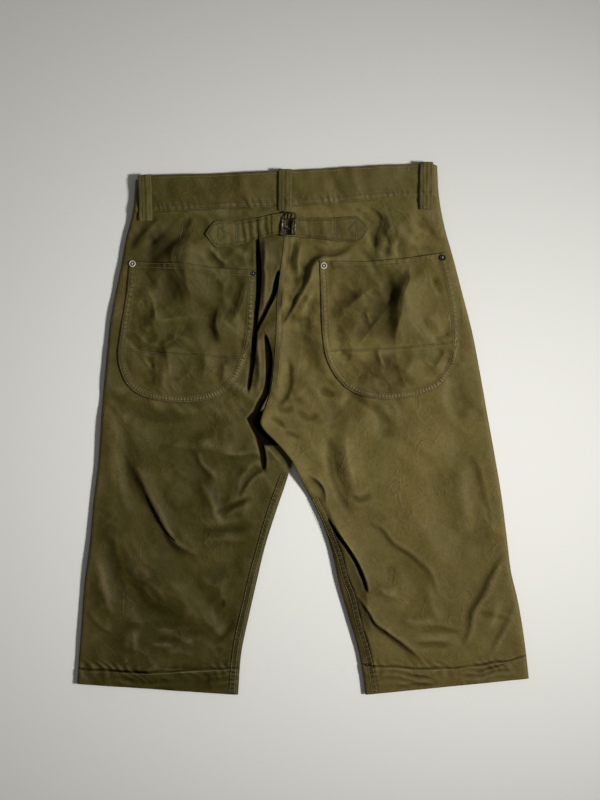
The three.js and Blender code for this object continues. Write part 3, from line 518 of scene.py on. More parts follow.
def canyons(x, y, side, wider=0.0):
    """1 on the bottoms of the deep folds of a panel and 0 off them, with walls 1.8 mm wide; each
    one narrows to a point at its ends."""
    wx = x + 0.8 * uneven(x, y, 75, 7)
    deep = np.zeros(np.shape(x))
    for panels, points, half_width in CANYONS:
        if panels not in ("B", side):
            continue
        off, along, length = from_line(smooth_line(points, 5.0), wx, y)
        t = along / length
        ends = ease(3.6 * t) * ease(3.6 * (1 - t))
        width = half_width * np.sqrt(ends) * (1 + 0.12 * np.sin(along / 13.0 + points[0][0])) + wider
        deep = np.maximum(deep, ease(0.5 + (width - np.abs(off)) / 1.8) * ease(3 * ends))
    if side == "L":
        basin_left = np.interp(y, BASIN_LEFT[0], BASIN_LEFT[1]) - wider
        inside = ease(0.5 + (wx - basin_left) / 2.4)
        inside = inside * ease((26 - y) / 6) * ease((y + 24) / 5)
        deep = np.maximum(deep, inside * ease((-40 - 0.4 * y - wx) / 4 + 1))
    return deep


def right_share(x, y, side):
    """How much of the right panel's folds show at a point: above the crotch the two panels pass
    smoothly into each other at the seam, below it each has its own."""
    across = ease(0.5 + (x - edge_x(CENTRE_SEAM, y)) / 14)
    joined = ease((y - 18) / 30)
    return across * joined + (side == "R") * (1 - joined)


def fold_rise(x, y, side):
    """Sum of the folds of one panel. Across its line a ridge is a tent with a rounded top and feet
    that flatten out, (1 - distance)^1.8, and a trough the same upside down but rounder. Both are
    narrower on the side they lean to, and along the line they rise and die away at their ends."""
    wx = x + 2.6 * uneven(x, y, 85, 1) + 0.35 * uneven(x, y, 26, 2)
    wy = y + 2.6 * uneven(x, y, 85, 3) + 0.35 * uneven(x, y, 26, 4)
    rise = np.zeros(np.shape(x))
    right = right_share(x, y, side)
    shares = {"B": np.ones(np.shape(x)), "R": right, "L": 1 - right}

    def near_line(panels, points, reach):
        """Which points may be within reach of a line on the panels given."""
        low, high = np.min(points, axis=0) - reach, np.max(points, axis=0) + reach
        return (wx > low[0]) & (wx < high[0]) & (wy > low[1]) & (wy < high[1]) & (shares[panels] > 0)

    for panels, points, width, height, lean in FOLDS:
        near = near_line(panels, points, 2.6 * width)
        if not near.any():
            continue
        off, along, length = from_line(smooth_line(points, 8.0), wx[near], wy[near])
        half_width = width * 1.45 * np.where(off > 0, 1 - lean, 1 + lean)
        round_off = 0.10 if height > 0 else 0.22
        share = np.sqrt((off / half_width) ** 2 + round_off ** 2) - round_off
        across = np.maximum(0, 1 - share) ** 1.8
        t = along / length
        ends = ease(2.6 * t + 0.06) * ease(2.6 * (1 - t) + 0.06)
        rise[near] += FOLD_STRENGTH * height * across * ends * shares[panels][near]
    for panel, points, reach, height, dip, join in CREASES:
        near = near_line(panel, points, 3 * reach)
        if near.any():
            step = crease_rise(points, wx[near], wy[near], reach, height, dip, join)
            rise[near] += step * shares[panel][near]
    return rise


def crease_rise(points, x, y, reach, height, dip, join):
    """A step along a line: on its high side the height times exp(-distance / reach), on its low
    side a short dip, joined over the distance given, and both fading at the line's ends."""
    off, along, length = from_line(smooth_line(points, 8.0), x, y)
    t = along / length
    over = np.abs(off) * np.where((t <= 0) | (t >= 1), 1.6, 1)
    high_side = 0.5 + 0.5 * np.tanh(off / join)
    ends = ease(3.5 * t) * ease(3.5 * (1 - t))
    return (high_side * height * np.exp(-over / (reach * 0.62))
            - (1 - high_side) * dip * np.exp(-over / 9.0)) * ends


def shade(x, y, side):
    """How much painted shade lies beside the creases, and painted light where a strength is negative:
    full along a crease's own edge, fading over its reach on one side and at once on the other."""
    sway_x, sway_y = 2.5 * uneven(x, y, 60, 21), 2.5 * uneven(x, y, 60, 22)
    dark = np.zeros(np.shape(x))
    for panel, points, reach, strength in SHADES:
        if panel != side:
            continue
        sway = min(1.0, reach / 16) ** 2
        off, along, length = from_line(smooth_line(points, 8.0), x + sway * sway_x, y + sway * sway_y)
        t = along / length
        fade = ease(4 * t + 0.05) * ease(4 * (1 - t) + 0.05) * bell(off, reach)
        dark = dark + 1.6 * strength * fade * ease(0.5 - off / 1.8)
    return np.minimum(dark, 1.8)


def ribs(line, x, y, middle, half, pitch, seed):
    """Small ribs across a doubled edge, drawn up between its two rows of thread: 0 to 1. They lie
    to both sides of a line at a distance from it, up to half their length away from that."""
    off, along, length = from_line(line, x, y)
    wave = 0.5 + 0.5 * np.sin(2 * np.pi * along / pitch + 1.2 * uneven(x, y, 34, seed))
    between = np.exp(-((np.abs(off) - middle) / half) ** 4)
    between = between * ease(along / 4) * ease((length - along) / 4)
    return wave ** 1.5 * between * np.clip(0.75 + 0.45 * uneven(x, y, 44, seed + 1), 0.2, 1.2)


def sewn(lines, x, y, width=0.9):
    """How near each point is to a sewn line: 1 on one and 0 some widths away."""
    near = np.min([np.abs(from_line(line, x, y)[0]) for line in lines], axis=0)
    return bell(near, width)


def seam_relief(points, x, y, pitch, seed, proud=0.5, reach=4.5):
    """Relief along a sewn line: a groove pulled in by the thread, the cloth to the left of the
    line's way standing proud of the rest, and uneven puckers across it at the pitch given."""
    off, along, length = from_line(smooth_line(points, 6.0), x, y)
    within = ease(along / 8) * ease((length - along) / 8)
    puckers = np.sin(2 * np.pi * along / pitch + 2.0 * uneven(x, y, 35, seed)) * (
        0.5 + 0.5 * uneven(x, y, 42, seed + 1))
    return within * (proud * ease(0.5 + off / 1.4) * np.exp(-np.maximum(0, off) / 9)
                     - 0.75 * bell(off, 0.95) + 0.42 * puckers * bell(off, reach))


def hem_relief(x, y, side):
    """The turned-up hem: thicker than the leg, a dark pulled-in line at its top, lens-shaped
    puckers and short cross wrinkles on both sides of it."""
    up = y - edge_x(HEM_LINES[side][::-1], x) - 0.9 * uneven(x, 0 * y, 38, 81)
    puckers = np.sin(2 * np.pi * (x + 0.5 * up) / 15 + 2.6 * uneven(x, y * 2.0, 60, 82))
    strong = 0.55 + 0.6 * uneven(x, y, 70, 83)
    lens = bell(up - 4, 5.5) + 0.8 * bell(up + 7, 6.5)
    ripples = np.sin(2 * np.pi * (up + 0.05 * x) / 9.5 + 2.2 * uneven(x, y, 60, 84))
    ripples = ripples * bell(up + 12, 13)
    return (1.1 * ease(0.5 - up / 1.6) - 1.5 * bell(up, 1.4) * (0.75 + 0.5 * strong)
            + 0.8 * puckers * strong * lens + 0.75 * ripples * ease(0.4 + uneven(x, y, 80, 85)))


def edge_distance(x, y, side):
    """How far a point is inside the outline; above the crotch only the outer edge counts."""
    outer = x - edge_x(LEFT_SIDE, y) if side == "L" else edge_x(RIGHT_SIDE, y) - x
    inner = edge_x(INNER_EDGE[side], np.minimum(y, CROTCH[1]))
    inner = inner - x if side == "L" else x - inner
    return np.maximum(0, outer), np.maximum(0, inner + 90 * ease((y - CROTCH[1] + 45) / 45))


def back_height(x, y, side):
    """Height of a back panel's outer face, in millimetres: the rolled edge settling inwards, all
    folds, creases and sewn lines on it, the deep folds cut down to the cloth beneath, and never
    lower than the layers under it."""
    outer, inner = edge_distance(x, y, side)
    inland = ease(np.minimum(outer, inner) / INLAND)
    base = EDGE_HEIGHT + (INNER_HEIGHT - EDGE_HEIGHT) * inland
    hem = ease((RIGHT_HEM_Y + HEM_DEPTH + 25 - y) / 25)
    waist = ease((y - WAIST_CALM_Y) / WAIST_CALM)
    base = base + (HEM_HEIGHT - base) * hem
    base = base + (EDGE_HEIGHT - base) * waist
    free = base + fold_rise(x, y, side) * (0.4 + 0.6 * inland) * (1 - 0.6 * hem) * (1 - 0.7 * waist)
    calm = 1 - ease((50 - y) / 70) * (0.72 if side == "R" else 0.52)
    free = free + crumples(x, y) * calm * (0.45 + 0.55 * inland) * (1 - 0.35 * hem)
    leg_side_first = INSEAM[side][::1 if side == "L" else -1]
    free = free + seam_relief(leg_side_first, x, y, 6.0, 86) * (0.5 + 0.5 * ease(inner / 6))
    free = free + 0.5 * ribs(inseam_row(side, FELL_MIDDLE), x, y, 0, *FELL_RIBS, 91)
    free = free + seam_relief(DARTS[side], x, y, 7.0, 88, 0.35) + hem_relief(x, y, side)
    softness = 0.9
    above = (free - LEAST_LAYERS) / softness
    least = LEAST_LAYERS + 1.6 * waist
    return least + softness * np.logaddexp(0, above) * (1 - 0.97 * canyons(x, y, side))


def unit(vectors):
    """The vectors, each divided by its length."""
    return vectors / np.maximum(np.linalg.norm(vectors, axis=-1, keepdims=True), 1e-9)


def grid_normals(points, up=1.0):
    """Normals of a grid whose rows run down the garment and columns to the right: the cross
    product of the ways to the next column and to the row above."""
    down, across = np.gradient(points, axis=0), np.gradient(points, axis=1)
    return unit(np.cross(across, -down)) * up


def grid_faces(rows, columns, offset=0, turned=False):
    """The four-sided faces of a grid, counted row by row."""
    r, c = np.meshgrid(np.arange(rows - 1), np.arange(columns - 1), indexing="ij")
    first = (r * columns + c + offset).ravel()
    faces = np.stack([first, first + columns, first + columns + 1, first + 1], axis=1)
    return faces[:, ::-1] if turned else faces


def put_in_scene(name, points, faces, replaced=(), ridge=None, *, material):
    """A smooth-shaded mesh object at the origin, from points in millimetres, with a value kept at
    each point if one is given, and its material."""
    mesh = bpy.data.meshes.new(name)
    faces = faces.tolist() if isinstance(faces, np.ndarray) else faces
    mesh.from_pydata((np.asarray(points).reshape(-1, 3) * MM).tolist(), [], faces)
    mesh.polygons.foreach_set("use_smooth", np.ones(len(mesh.polygons), bool))
    if ridge is not None:
        ridge_layer = mesh.attributes.new("ridge", "FLOAT", "POINT")
        ridge_layer.data.foreach_set("value", np.asarray(ridge, np.float32).ravel())
    mesh.update()
    piece = bpy.data.objects.new(name, mesh)
    bpy.context.scene.collection.objects.link(piece)
    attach(piece, "root")
    if replaced:
        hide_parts(*replaced)
    mesh.materials.append(material)
    return piece


def sharpness(points, reach):
    """How far each point stands above (or below) the mean of the grid points around it, at a
    distance of so many cells: positive on ridges and negative in troughs."""
    z = np.pad(points[..., 2], reach, mode="edge")
    middle = z[reach:-reach, reach:-reach]
    around = (z[:-2 * reach, reach:-reach] + z[2 * reach:, reach:-reach]
              + z[reach:-reach, :-2 * reach] + z[reach:-reach, 2 * reach:]) / 4
    return middle - around


def cloth_wall(name, outer, thickness, replaced=(), facing=1.0, sunk=0.0, *, material):
    """A closed thin wall: the outer grid, an inner grid moved in along the normals, and a rim. It
    keeps how far each point is on a ridge (positive) or in a trough, less what is sunk; the cotton
    paints ridges paler as a painted highlight, and troughs and sunk places darker as painted shade."""
    rows, columns = outer.shape[:2]
    normals = grid_normals(outer, facing)
    inner = outer - normals * thickness
    count = rows * columns
    border = np.concatenate([np.arange(columns), (np.arange(1, rows) + 1) * columns - 1,
                             count - 1 - np.arange(1, columns),
                             (rows - 1 - np.arange(1, rows - 1)) * columns])
    after = np.roll(border, -1)
    rim = np.stack([border, after, after + count, border + count], axis=1)
    turned = facing < 0
    faces = np.vstack([grid_faces(rows, columns, 0, turned), grid_faces(rows, columns, count, not turned),
                       rim[:, ::-1] if turned else rim])
    ridge = np.clip(sharpness(outer, 3) * facing, -0.9, 0.9) - sunk
    both = np.concatenate([ridge.ravel(), ridge.ravel() * 0])
    return put_in_scene(name, np.concatenate([outer.reshape(-1, 3), inner.reshape(-1, 3)]), faces,
                        replaced, both, material=material)


def spread(inside, outside, curl_in, count=120, crowd=1.45, rounding=7):
    """Points of every row from its inside end to its outside end: first the rounded inside edge,
    then the flat, then the rounded outside edge. Gives x, y, and the turn at each point (0 on the
    flat, 1 on the edge) for either end."""
    angle = np.linspace(np.pi / 2, 0, rounding)
    inset = CURL * (1 - np.sin(angle))
    width = np.hypot(*(outside - inside).T)[:, None]
    flat = np.linspace(0, 1, count + 2)[1:-1][None, :] ** crowd
    middle = CURL + flat * (width - 2 * CURL)
    ones = np.ones_like(width)
    at = np.hstack([inset[None] * ones, middle, width - inset[::-1][None] * ones]) / width
    turn_in = np.hstack([angle[None] * ones * curl_in[:, None], 0 * middle, 0 * ones * inset[None]])
    turn_out = np.hstack([0 * ones * inset[None], 0 * middle, angle[::-1][None] * ones])
    xy = inside[:, None, :] + (outside - inside)[:, None, :] * at[..., None]
    return xy[..., 0], xy[..., 1], turn_in, turn_out


def panel_rows(side, step=2.2):
    """The two ends of each row of a panel, from the waist seam to the hem. Rows crowd together
    near the line of the hem."""
    crowd_from, crowd_to = -305, -339
    upper = np.arange(CENTRE_WAIST_Y + SEAM_ALLOWANCE, crowd_from, -step)
    level = np.concatenate([upper, np.arange(crowd_from, crowd_to, -0.45 * step),
                            np.linspace(crowd_to, INSIDE_HEM_Y, 10)])
    down = (CENTRE_WAIST_Y - level) / (CENTRE_WAIST_Y - INSIDE_HEM_Y)
    top, bottom = (LEFT_WAIST_Y, LEFT_HEM_Y) if side == "L" else (RIGHT_WAIST_Y, RIGHT_HEM_Y)
    side_y = top + (bottom - top) * down
    side_x = edge_x(OUTER_EDGE[side], side_y)
    leg = edge_x(INNER_EDGE[side], np.minimum(level, CROTCH[1]))
    inside_x = np.where(level > CROTCH[1], edge_x(CENTRE_SEAM, level), leg)
    return level, np.stack([inside_x, level], 1), np.stack([side_x, side_y], 1)


def back_panel(side):
    """The outer face of a back panel as a grid, rows down the garment and columns to the right."""
    level, inside, outside = panel_rows(side)
    if side == "R":
        curl_in = ease((58 - level) / 34)
        foot = np.where(level > CROTCH[1], 6.0 - 1.5 * ease((10 - level) / 50), MIDDLE)
    else:
        under = 12 * ease((62 - level) / 40) * ease((level - CROTCH[1]) / 24)
        inside[:, 0] += under
        curl_in = ease((CROTCH[1] + 4 - level) / 12)
        foot = np.full(level.shape, MIDDLE)
    x, y, turn_in, turn_out = spread(inside, outside, curl_in)
    top = back_height(x, y, side)
    if side == "L":
        sink = ease((x - edge_x(CENTRE_SEAM, y) + 4) / 10) * ease((60 - y) / 30)
        flap = ease((x - edge_x(CENTRE_SEAM, y) + 20) / 9) * ease((8 - y) / 14)
        low = np.maximum(sink, flap) * ease((y - CROTCH[1] + 22) / 16)
        top = top - low * np.maximum(0, top - UNDER_FLAP)
    else:
        lift = ease((34 - level) / 26) * ease((level + 92) / 40)
        in_from_edge = x - inside[:, :1]
        top = top + lift[:, None] * (FLAP_TOP - top) * bell(in_from_edge, 13)
        foot = foot + (FLAP_FOOT - foot) * lift
    bend = np.cos(turn_in) * np.cos(turn_out)
    ends = np.where(turn_in > 0, foot[:, None], MIDDLE + 0.15)
    z = ends + (top - ends) * bend
    grid = np.stack([x, y, z], -1)
    return grid[:, ::-1] if side == "L" else grid


def value_node(tree, kind, **settings):
    """A shader node with its properties, or sockets named in capitals_with_underscores, set."""
    node = tree.nodes.new(kind)
    for key, value in settings.items():
        if hasattr(node, key):
            setattr(node, key, value)
        else:
            node.inputs[key.replace("_", " ")].default_value = value
    return node


def waxed_cotton_group():
    """Node group: colour, roughness and relief of waxed cotton. Broad patches go from the green
    to the brown dye, ridges are painted paler (rubbed wear and a painted highlight) and troughs
    darker (painted shade), a fine twill weave and small crinkles give the relief."""
    group = bpy.data.node_groups.new("waxed cotton", "ShaderNodeTree")
    face = group.interface
    for name, kind, value in (("Green", "NodeSocketColor", (0.05, 0.05, 0.02, 1)),
                              ("Brown", "NodeSocketColor", (0.1, 0.07, 0.035, 1)),
                              ("Brownness", "NodeSocketFloat", 0.5),
                              ("Ridge", "NodeSocketFloat", 0.0)):
        face.new_socket(name, in_out="INPUT", socket_type=kind).default_value = value
    for name, kind in (("Color", "NodeSocketColor"), ("Roughness", "NodeSocketFloat"),
                       ("Relief", "NodeSocketFloat"), ("Gloss", "NodeSocketFloat")):
        face.new_socket(name, in_out="OUTPUT", socket_type=kind)
    node, link = group.nodes.new, group.links.new
    start, end = node("NodeGroupInput"), node("NodeGroupOutput")
    place = node("ShaderNodeTexCoord")

    def noise(scale, detail, rough=0.55, distortion=0.0):
        """An uneven field over the object's own coordinates, between 0 and 1."""
        one = value_node(group, "ShaderNodeTexNoise", Scale=scale, Detail=detail, Roughness=rough,
                         Distortion=distortion)
        link(place.outputs["Object"], one.inputs["Vector"])
        return one.outputs["Fac"]

    def reckon(kind, a, b, c=None, clamp=False):
        """A sum of one kind on values or the outputs of other nodes."""
        one = value_node(group, "ShaderNodeMath", operation=kind, use_clamp=clamp)
        for socket, value in zip(one.inputs, (a, b, c)):
            if value is None:
                continue
            if isinstance(value, (int, float)):
                socket.default_value = value
            else:
                link(value, socket)
        return one.outputs[0]

    def blend(kind, amount, a, b):
        """The second colour laid over the first by an amount."""
        one = value_node(group, "ShaderNodeMix", data_type="RGBA", blend_type=kind)
        for socket, value in ((one.inputs[0], amount), (one.inputs[6], a), (one.inputs[7], b)):
            if isinstance(value, (int, float, tuple)):
                socket.default_value = value
            else:
                link(value, socket)
        return one.outputs[2]

    # how brown the dye is, and a mossy cast in places, more of both towards the waist
    broad = noise(9, 3)
    patches = noise(38, 4, 0.6, 0.4)
    specks = noise(900, 2, 0.7)
    mixed = reckon("ADD", reckon("MULTIPLY", reckon("SUBTRACT", broad, 0.5), 0.9), start.outputs["Brownness"])
    mixed = reckon("ADD", mixed, reckon("MULTIPLY", reckon("SUBTRACT", patches, 0.5), 0.36))
    apart = node("ShaderNodeSeparateXYZ")
    link(place.outputs["Object"], apart.inputs[0])
    mixed = reckon("ADD", mixed, reckon("MULTIPLY_ADD", apart.outputs[1], 0.62, 0.04), clamp=True)
    cloth_colour = blend("MIX", mixed, start.outputs["Green"], start.outputs["Brown"])
    moss = reckon("MULTIPLY_ADD", noise(14, 2), 2.4, -1.05)
    moss = reckon("ADD", moss, reckon("MULTIPLY", apart.outputs[1], 1.6), clamp=True)
    cloth_colour = blend("MULTIPLY", moss, cloth_colour, (0.88, 0.99, 0.90, 1))
    # thin crease lines, where an uneven field passes its middle value, rubbed paler; ridges
    # painted paler, rubbed wear and a painted highlight
    creases = 0
    for scale, share in ((24, 0.6), (52, 0.5)):
        off_crest = reckon("ABSOLUTE", reckon("SUBTRACT", noise(scale, 1.5, 0.5, 0.8), 0.5), 0)
        crest = reckon("SUBTRACT", 1.0, reckon("MULTIPLY", off_crest, 30), clamp=True)
        there = reckon("MULTIPLY_ADD", noise(scale / 3 + 3, 1), 4.0, -1.75, clamp=True)
        creases = reckon("ADD", reckon("MULTIPLY", reckon("MULTIPLY", crest, there), share), creases)
    rubbed_and_highlight = reckon("MULTIPLY", reckon("MAXIMUM", start.outputs["Ridge"], 0.0), 0.32)
    rubbed_and_highlight = reckon("ADD", rubbed_and_highlight, reckon("MULTIPLY", creases, 0.11), clamp=True)
    cloth_colour = blend("MIX", rubbed_and_highlight, cloth_colour, (0.21, 0.165, 0.085, 1))
    # painted shade, darker and less glossy, in the troughs and wherever Ridge is negative; and a
    # fine grain over all
    sunk = reckon("MULTIPLY", reckon("MAXIMUM", reckon("MULTIPLY", start.outputs["Ridge"], -1.0), 0.0), 0.36,
                  clamp=True)
    cloth_colour = blend("MULTIPLY", sunk, cloth_colour, (0.07, 0.06, 0.05, 1))
    link(reckon("MULTIPLY_ADD", sunk, -0.15, 0.16), end.inputs["Gloss"])
    grain = reckon("MULTIPLY_ADD", specks, 0.5, 0.75)
    tone = reckon("MULTIPLY_ADD", noise(190, 4, 0.65), 0.56, 0.72)
    cloth_colour = blend("MULTIPLY", 1.0, cloth_colour, reckon_colour(group, reckon("MULTIPLY", grain, tone)))
    link(cloth_colour, end.inputs["Color"])
    weighted_sum = reckon("MULTIPLY_ADD", patches, 0.25, 0.47)
    link(reckon("ADD", weighted_sum, reckon("MULTIPLY", rubbed_and_highlight, 0.2), clamp=True), end.inputs["Roughness"])

    # the relief: twill lines, crinkles, soft dents and the crease lines
    turned = value_node(group, "ShaderNodeMapping", Rotation=(0, 0, math.radians(58)))
    link(place.outputs["Object"], turned.inputs["Vector"])
    twill = value_node(group, "ShaderNodeTexWave", wave_type="BANDS", bands_direction="X", Scale=300,
                       Distortion=1.2, Detail=1.0, Detail_Scale=2.0)
    link(turned.outputs["Vector"], twill.inputs["Vector"])
    crinkle = reckon("MULTIPLY", noise(120, 5, 0.66, 0.6), 1.15)
    soft = reckon("MULTIPLY", noise(34, 4, 0.55, 0.8), 0.6)
    relief = reckon("ADD", reckon("MULTIPLY", twill.outputs["Fac"], 0.16), reckon("ADD", crinkle, soft))
    relief = reckon("ADD", relief, reckon("MULTIPLY", creases, 1.1))
    link(relief, end.inputs["Relief"])
    return group


def reckon_colour(group, value):
    """A grey colour of the value given."""
    joined = group.nodes.new("ShaderNodeCombineColor")
    for socket in joined.inputs:
        group.links.new(value, socket)
    return joined.outputs[0]


WAXED_COTTON = waxed_cotton_group()


def add_bump(tree, value, shader, strength, distance):
    """Relief in a shader's normal, from a value that is taken as a height."""
    bump = value_node(tree, "ShaderNodeBump", Strength=strength, Distance=distance)
    tree.links.new(value, bump.inputs["Height"])
    tree.links.new(bump.outputs["Normal"], shader.inputs["Normal"])


GREEN_DYE = (0.0365, 0.0310, 0.0025)
BROWN_DYE = (0.136, 0.101, 0.0270)
COTTON_RELIEF = 0.0006     # metres


def cotton(name, brownness):
    """A material of waxed cotton, as brown on the whole as is given."""
    material, tree, shader = new_material(name)
    weave = tree.nodes.new("ShaderNodeGroup")
    weave.node_tree = WAXED_COTTON
    weave.inputs["Green"].default_value = (*GREEN_DYE, 1)
    weave.inputs["Brown"].default_value = (*BROWN_DYE, 1)
    weave.inputs["Brownness"].default_value = brownness
    ridge = value_node(tree, "ShaderNodeAttribute", attribute_name="ridge")
    tree.links.new(ridge.outputs["Fac"], weave.inputs["Ridge"])
    add_bump(tree, weave.outputs["Relief"], shader, 1.0, COTTON_RELIEF)
    for output, socket in (("Color", "Base Color"), ("Roughness", "Roughness"),
                           ("Gloss", "Specular IOR Level")):
        tree.links.new(weave.outputs[output], shader.inputs[socket])
    return material


# The left cotton is darker and greener, the right paler and browner: the difference in brightness is painted
# shade on the left and painted light on the right, where the window light is stronger.
LEFT_COTTON = cotton("left leg cotton", 0.22)
RIGHT_COTTON = cotton("right leg cotton", 0.75)
# How strongly the back panels are painted: painted shade on the deep folds, along the sewn lines and over the
# felled edge, and a painted highlight on the felled edge's ribs.
CANYON_PAINTED_SHADE, PANEL_STITCH_SHADE, FELL_PAINTED_SHADE, FELL_RIB_HIGHLIGHT = 4, 1.0, 0.5, 0.8

for side, node, dress in (("L", "back_left", LEFT_COTTON), ("R", "back_right", RIGHT_COTTON)):
    face = back_panel(side)
    x, y = face[..., 0], face[..., 1]
    felled = inseam_row(side, FELL_MIDDLE)
    rows = [HEM_LINES[side], DARTS[side], inseam_row(side, 1.2), inseam_row(side, FELL_FAR)]
    # Painted shade in the deep folds, along the sewn lines, beside the creases and on the felled edge;
    # painted light where a SHADES strength is negative; a painted highlight on the ribs.
    weighted_sum = CANYON_PAINTED_SHADE * canyons(x, y, side, 0.9) + PANEL_STITCH_SHADE * sewn(rows, x, y)
    weighted_sum = weighted_sum + shade(x, y, side)
    weighted_sum = weighted_sum + FELL_PAINTED_SHADE * np.exp(-(from_line(felled, x, y)[0] / 4.5) ** 4)
    weighted_sum = weighted_sum - FELL_RIB_HIGHLIGHT * ribs(felled, x, y, 0, *FELL_RIBS, 91)
    panel = cloth_wall(node + "_cloth", face, CLOTH, [node], sunk=weighted_sum, material=dress)

# ---- Thread ----
# Heavy olive sewing thread, pulled tight into the cloth. Each stitch is a short raised grain; a
# row of them is one mesh, and rows on the same piece go together.
STITCH_PITCH = 3.1
STITCH_LENGTH = 2.5
STITCH_RADIUS = 0.42


SOILED_THREAD = (0.125, 0.108, 0.055)
CLEAN_THREAD = (0.280, 0.245, 0.145)


def noise_field(tree, scale, detail):
    """An uneven field over the object's own coordinates, between 0 and 1."""
    place = tree.nodes.new("ShaderNodeTexCoord")
    field = value_node(tree, "ShaderNodeTexNoise", Scale=scale, Detail=detail)
    tree.links.new(place.outputs["Object"], field.inputs["Vector"])
    return field.outputs["Fac"]


def colour_ramp(tree, value, dark, pale, low=0.0, high=1.0):
    """A colour that goes from the dark to the pale one as a value goes from low to high."""
    ramp = tree.nodes.new("ShaderNodeValToRGB")
    for stop, position, colour in zip(ramp.color_ramp.elements, (low, high), (dark, pale)):
        stop.position = position
        stop.color = (*colour, 1)
    tree.links.new(value, ramp.inputs["Fac"])
    return ramp.outputs["Color"]


def thread_material():
    """Dull waxed thread, a little paler than the cloth, uneven along its length."""
    material, tree, shader = new_material("waxed thread")
    soil = colour_ramp(tree, noise_field(tree, 60, 3), SOILED_THREAD, CLEAN_THREAD, 0.3, 0.7)
    tree.links.new(soil, shader.inputs["Base Color"])
    add_bump(tree, noise_field(tree, 2500, 1), shader, 0.6, 0.0001)
    shader.inputs["Roughness"].default_value = 0.6
    return material


THREAD = thread_material()


def lengths_along(line):
    """How far along a bent line each of its points is."""
    return np.concatenate([[0], np.cumsum(np.hypot(*np.diff(line, axis=0).T))])


def places_on(line, at):
    """The places so far along a bent line."""
    return np.stack([np.interp(at, lengths_along(line), line[:, k]) for k in (0, 1)], 1)


def evenly_along(points, pitch, smooth=True):
    """Places at an even pitch along a curve through the points, and their directions."""
    line = smooth_line(points, 3.0) if smooth else np.array(points, float)
    length = lengths_along(line)[-1]
    count = max(2, int(round(length / pitch)))
    at = (np.arange(count) + 0.5) * length / count
    return places_on(line, at), unit(places_on(line, at + 0.6) - places_on(line, at - 0.6))


def stitch_rows(name, lines, height, up=1.0, pitch=STITCH_PITCH, smooth=True):
    """One mesh of all stitches along the lines. A stitch is a grain of three five-sided rings
    between two points, laid along the slope of the cloth whose height function is given."""
    laid = [evenly_along(line, pitch, smooth) for line in lines]
    place = np.vstack([one[0] for one in laid])
    way = np.vstack([one[1] for one in laid])
    turn = np.random.default_rng(len(place)).normal(0, 0.07, len(place))
    way = np.stack([way[:, 0] * np.cos(turn) - way[:, 1] * np.sin(turn),
                    way[:, 0] * np.sin(turn) + way[:, 1] * np.cos(turn)], 1)
    half = STITCH_LENGTH / 2 * (pitch / STITCH_PITCH)
    z = height(place[:, 0], place[:, 1])
    front, back = place + way * half, place - way * half
    climb = (height(front[:, 0], front[:, 1]) - height(back[:, 0], back[:, 1])) / (2 * half)
    along = unit(np.column_stack([way, np.clip(climb, -2, 2)]))
    across = unit(np.column_stack([-way[:, 1], way[:, 0], 0 * z]))
    over = np.cross(along, across)
    spots = [(-1.0, 0.0, 0.0), (1.0, 0.0, 0.0)]
    for at, size in ((-0.72, 0.72), (0.0, 1.0), (0.72, 0.72)):
        spots += [(at, size * math.cos(a), size * math.sin(a)) for a in np.arange(5) * 2 * math.pi / 5]
    grain = np.array(spots)
    centre = np.column_stack([place, z]) + over * up * STITCH_RADIUS * 0.45
    points = (centre[:, None] + along[:, None] * (grain[:, :1] * half)[None]
              + across[:, None] * (grain[:, 1:2] * STITCH_RADIUS)[None]
              + over[:, None] * (grain[:, 2:3] * STITCH_RADIUS - 0.25 * abs(grain[:, :1]) * up)[None])
    faces = []
    for k in range(5):
        m = (k + 1) % 5
        faces += [(0, 2 + m, 2 + k), (1, 12 + k, 12 + m)]
        for ring in (2, 7):
            faces += [(ring + k, ring + m, ring + 5 + m), (ring + k, ring + 5 + m, ring + 5 + k)]
    faces = (np.array(faces)[None] + (np.arange(len(place)) * len(grain))[:, None, None]).reshape(-1, 3)
    put_in_scene(name, points, faces, material=THREAD)


# ---- Felled seams of the back and legs, and the hems ----
# The seat seam is folded over and sewn down flat in two rows. The inside leg seams are felled the
# same way close to the edge. Each hem is turned up twice and sewn once near its fold.
SEAT_SEAM = [(-21, 290), (-21, 251), (-27, 200), (-30.5, 165), (-31.5, 127), (-34.5, 85), (-38, 55),
             (-44, 32), (-50, 14)]
SEAT_SEAM_WIDTH = 9.5
SEAT_ROW = 3.2             # its two rows of thread, out from the middle
SEAT_PROUD = 0.5           # how far it stands over the cloth
LEG_ROW = 1.5              # the inside leg seam's inner row, on from the seam
HEM_ROW = 2.2              # the hem's row, down from its upper edge


def seat_height(x, y):
    """The back's height at the seat seam, where both panels meet."""
    left, right = back_height(x, y, "L"), back_height(x, y, "R")
    return np.where(x < edge_x(CENTRE_SEAM, y), left, right)


def flat_strip(points, width, height, proud, across=9, step=2.0):
    """A grid for a narrow strip along a line: its profile is a low flat arch with rolled edges,
    standing a given amount over the cloth it is sewn to."""
    place, way = evenly_along(points, step)
    v = np.linspace(-1, 1, across)
    side = np.stack([-way[:, 1], way[:, 0]], 1)
    wobble = 0.35 * np.sin(np.arange(len(place)) * 1.9) + 0.25 * np.sin(np.arange(len(place)) * 0.83)
    half_width = (width / 2 + wobble)[:, None, None]
    xy = place[:, None] + side[:, None] * v[None, :, None] * half_width
    rise = proud * (1 - np.abs(v) ** 6)[None] * (1 + 0.25 * np.sin(np.arange(len(place)) * 0.9))[:, None]
    z = height(xy[..., 0], xy[..., 1]) + rise
    grid = np.concatenate([xy, z[..., None]], -1)
    return grid[:, ::-1] if grid[0, 0, 0] > grid[0, -1, 0] else grid


seat_rows = [beside(SEAT_SEAM, SEAT_ROW), beside(SEAT_SEAM, -SEAT_ROW)]
strip = flat_strip(SEAT_SEAM, SEAT_SEAM_WIDTH, seat_height, SEAT_PROUD)
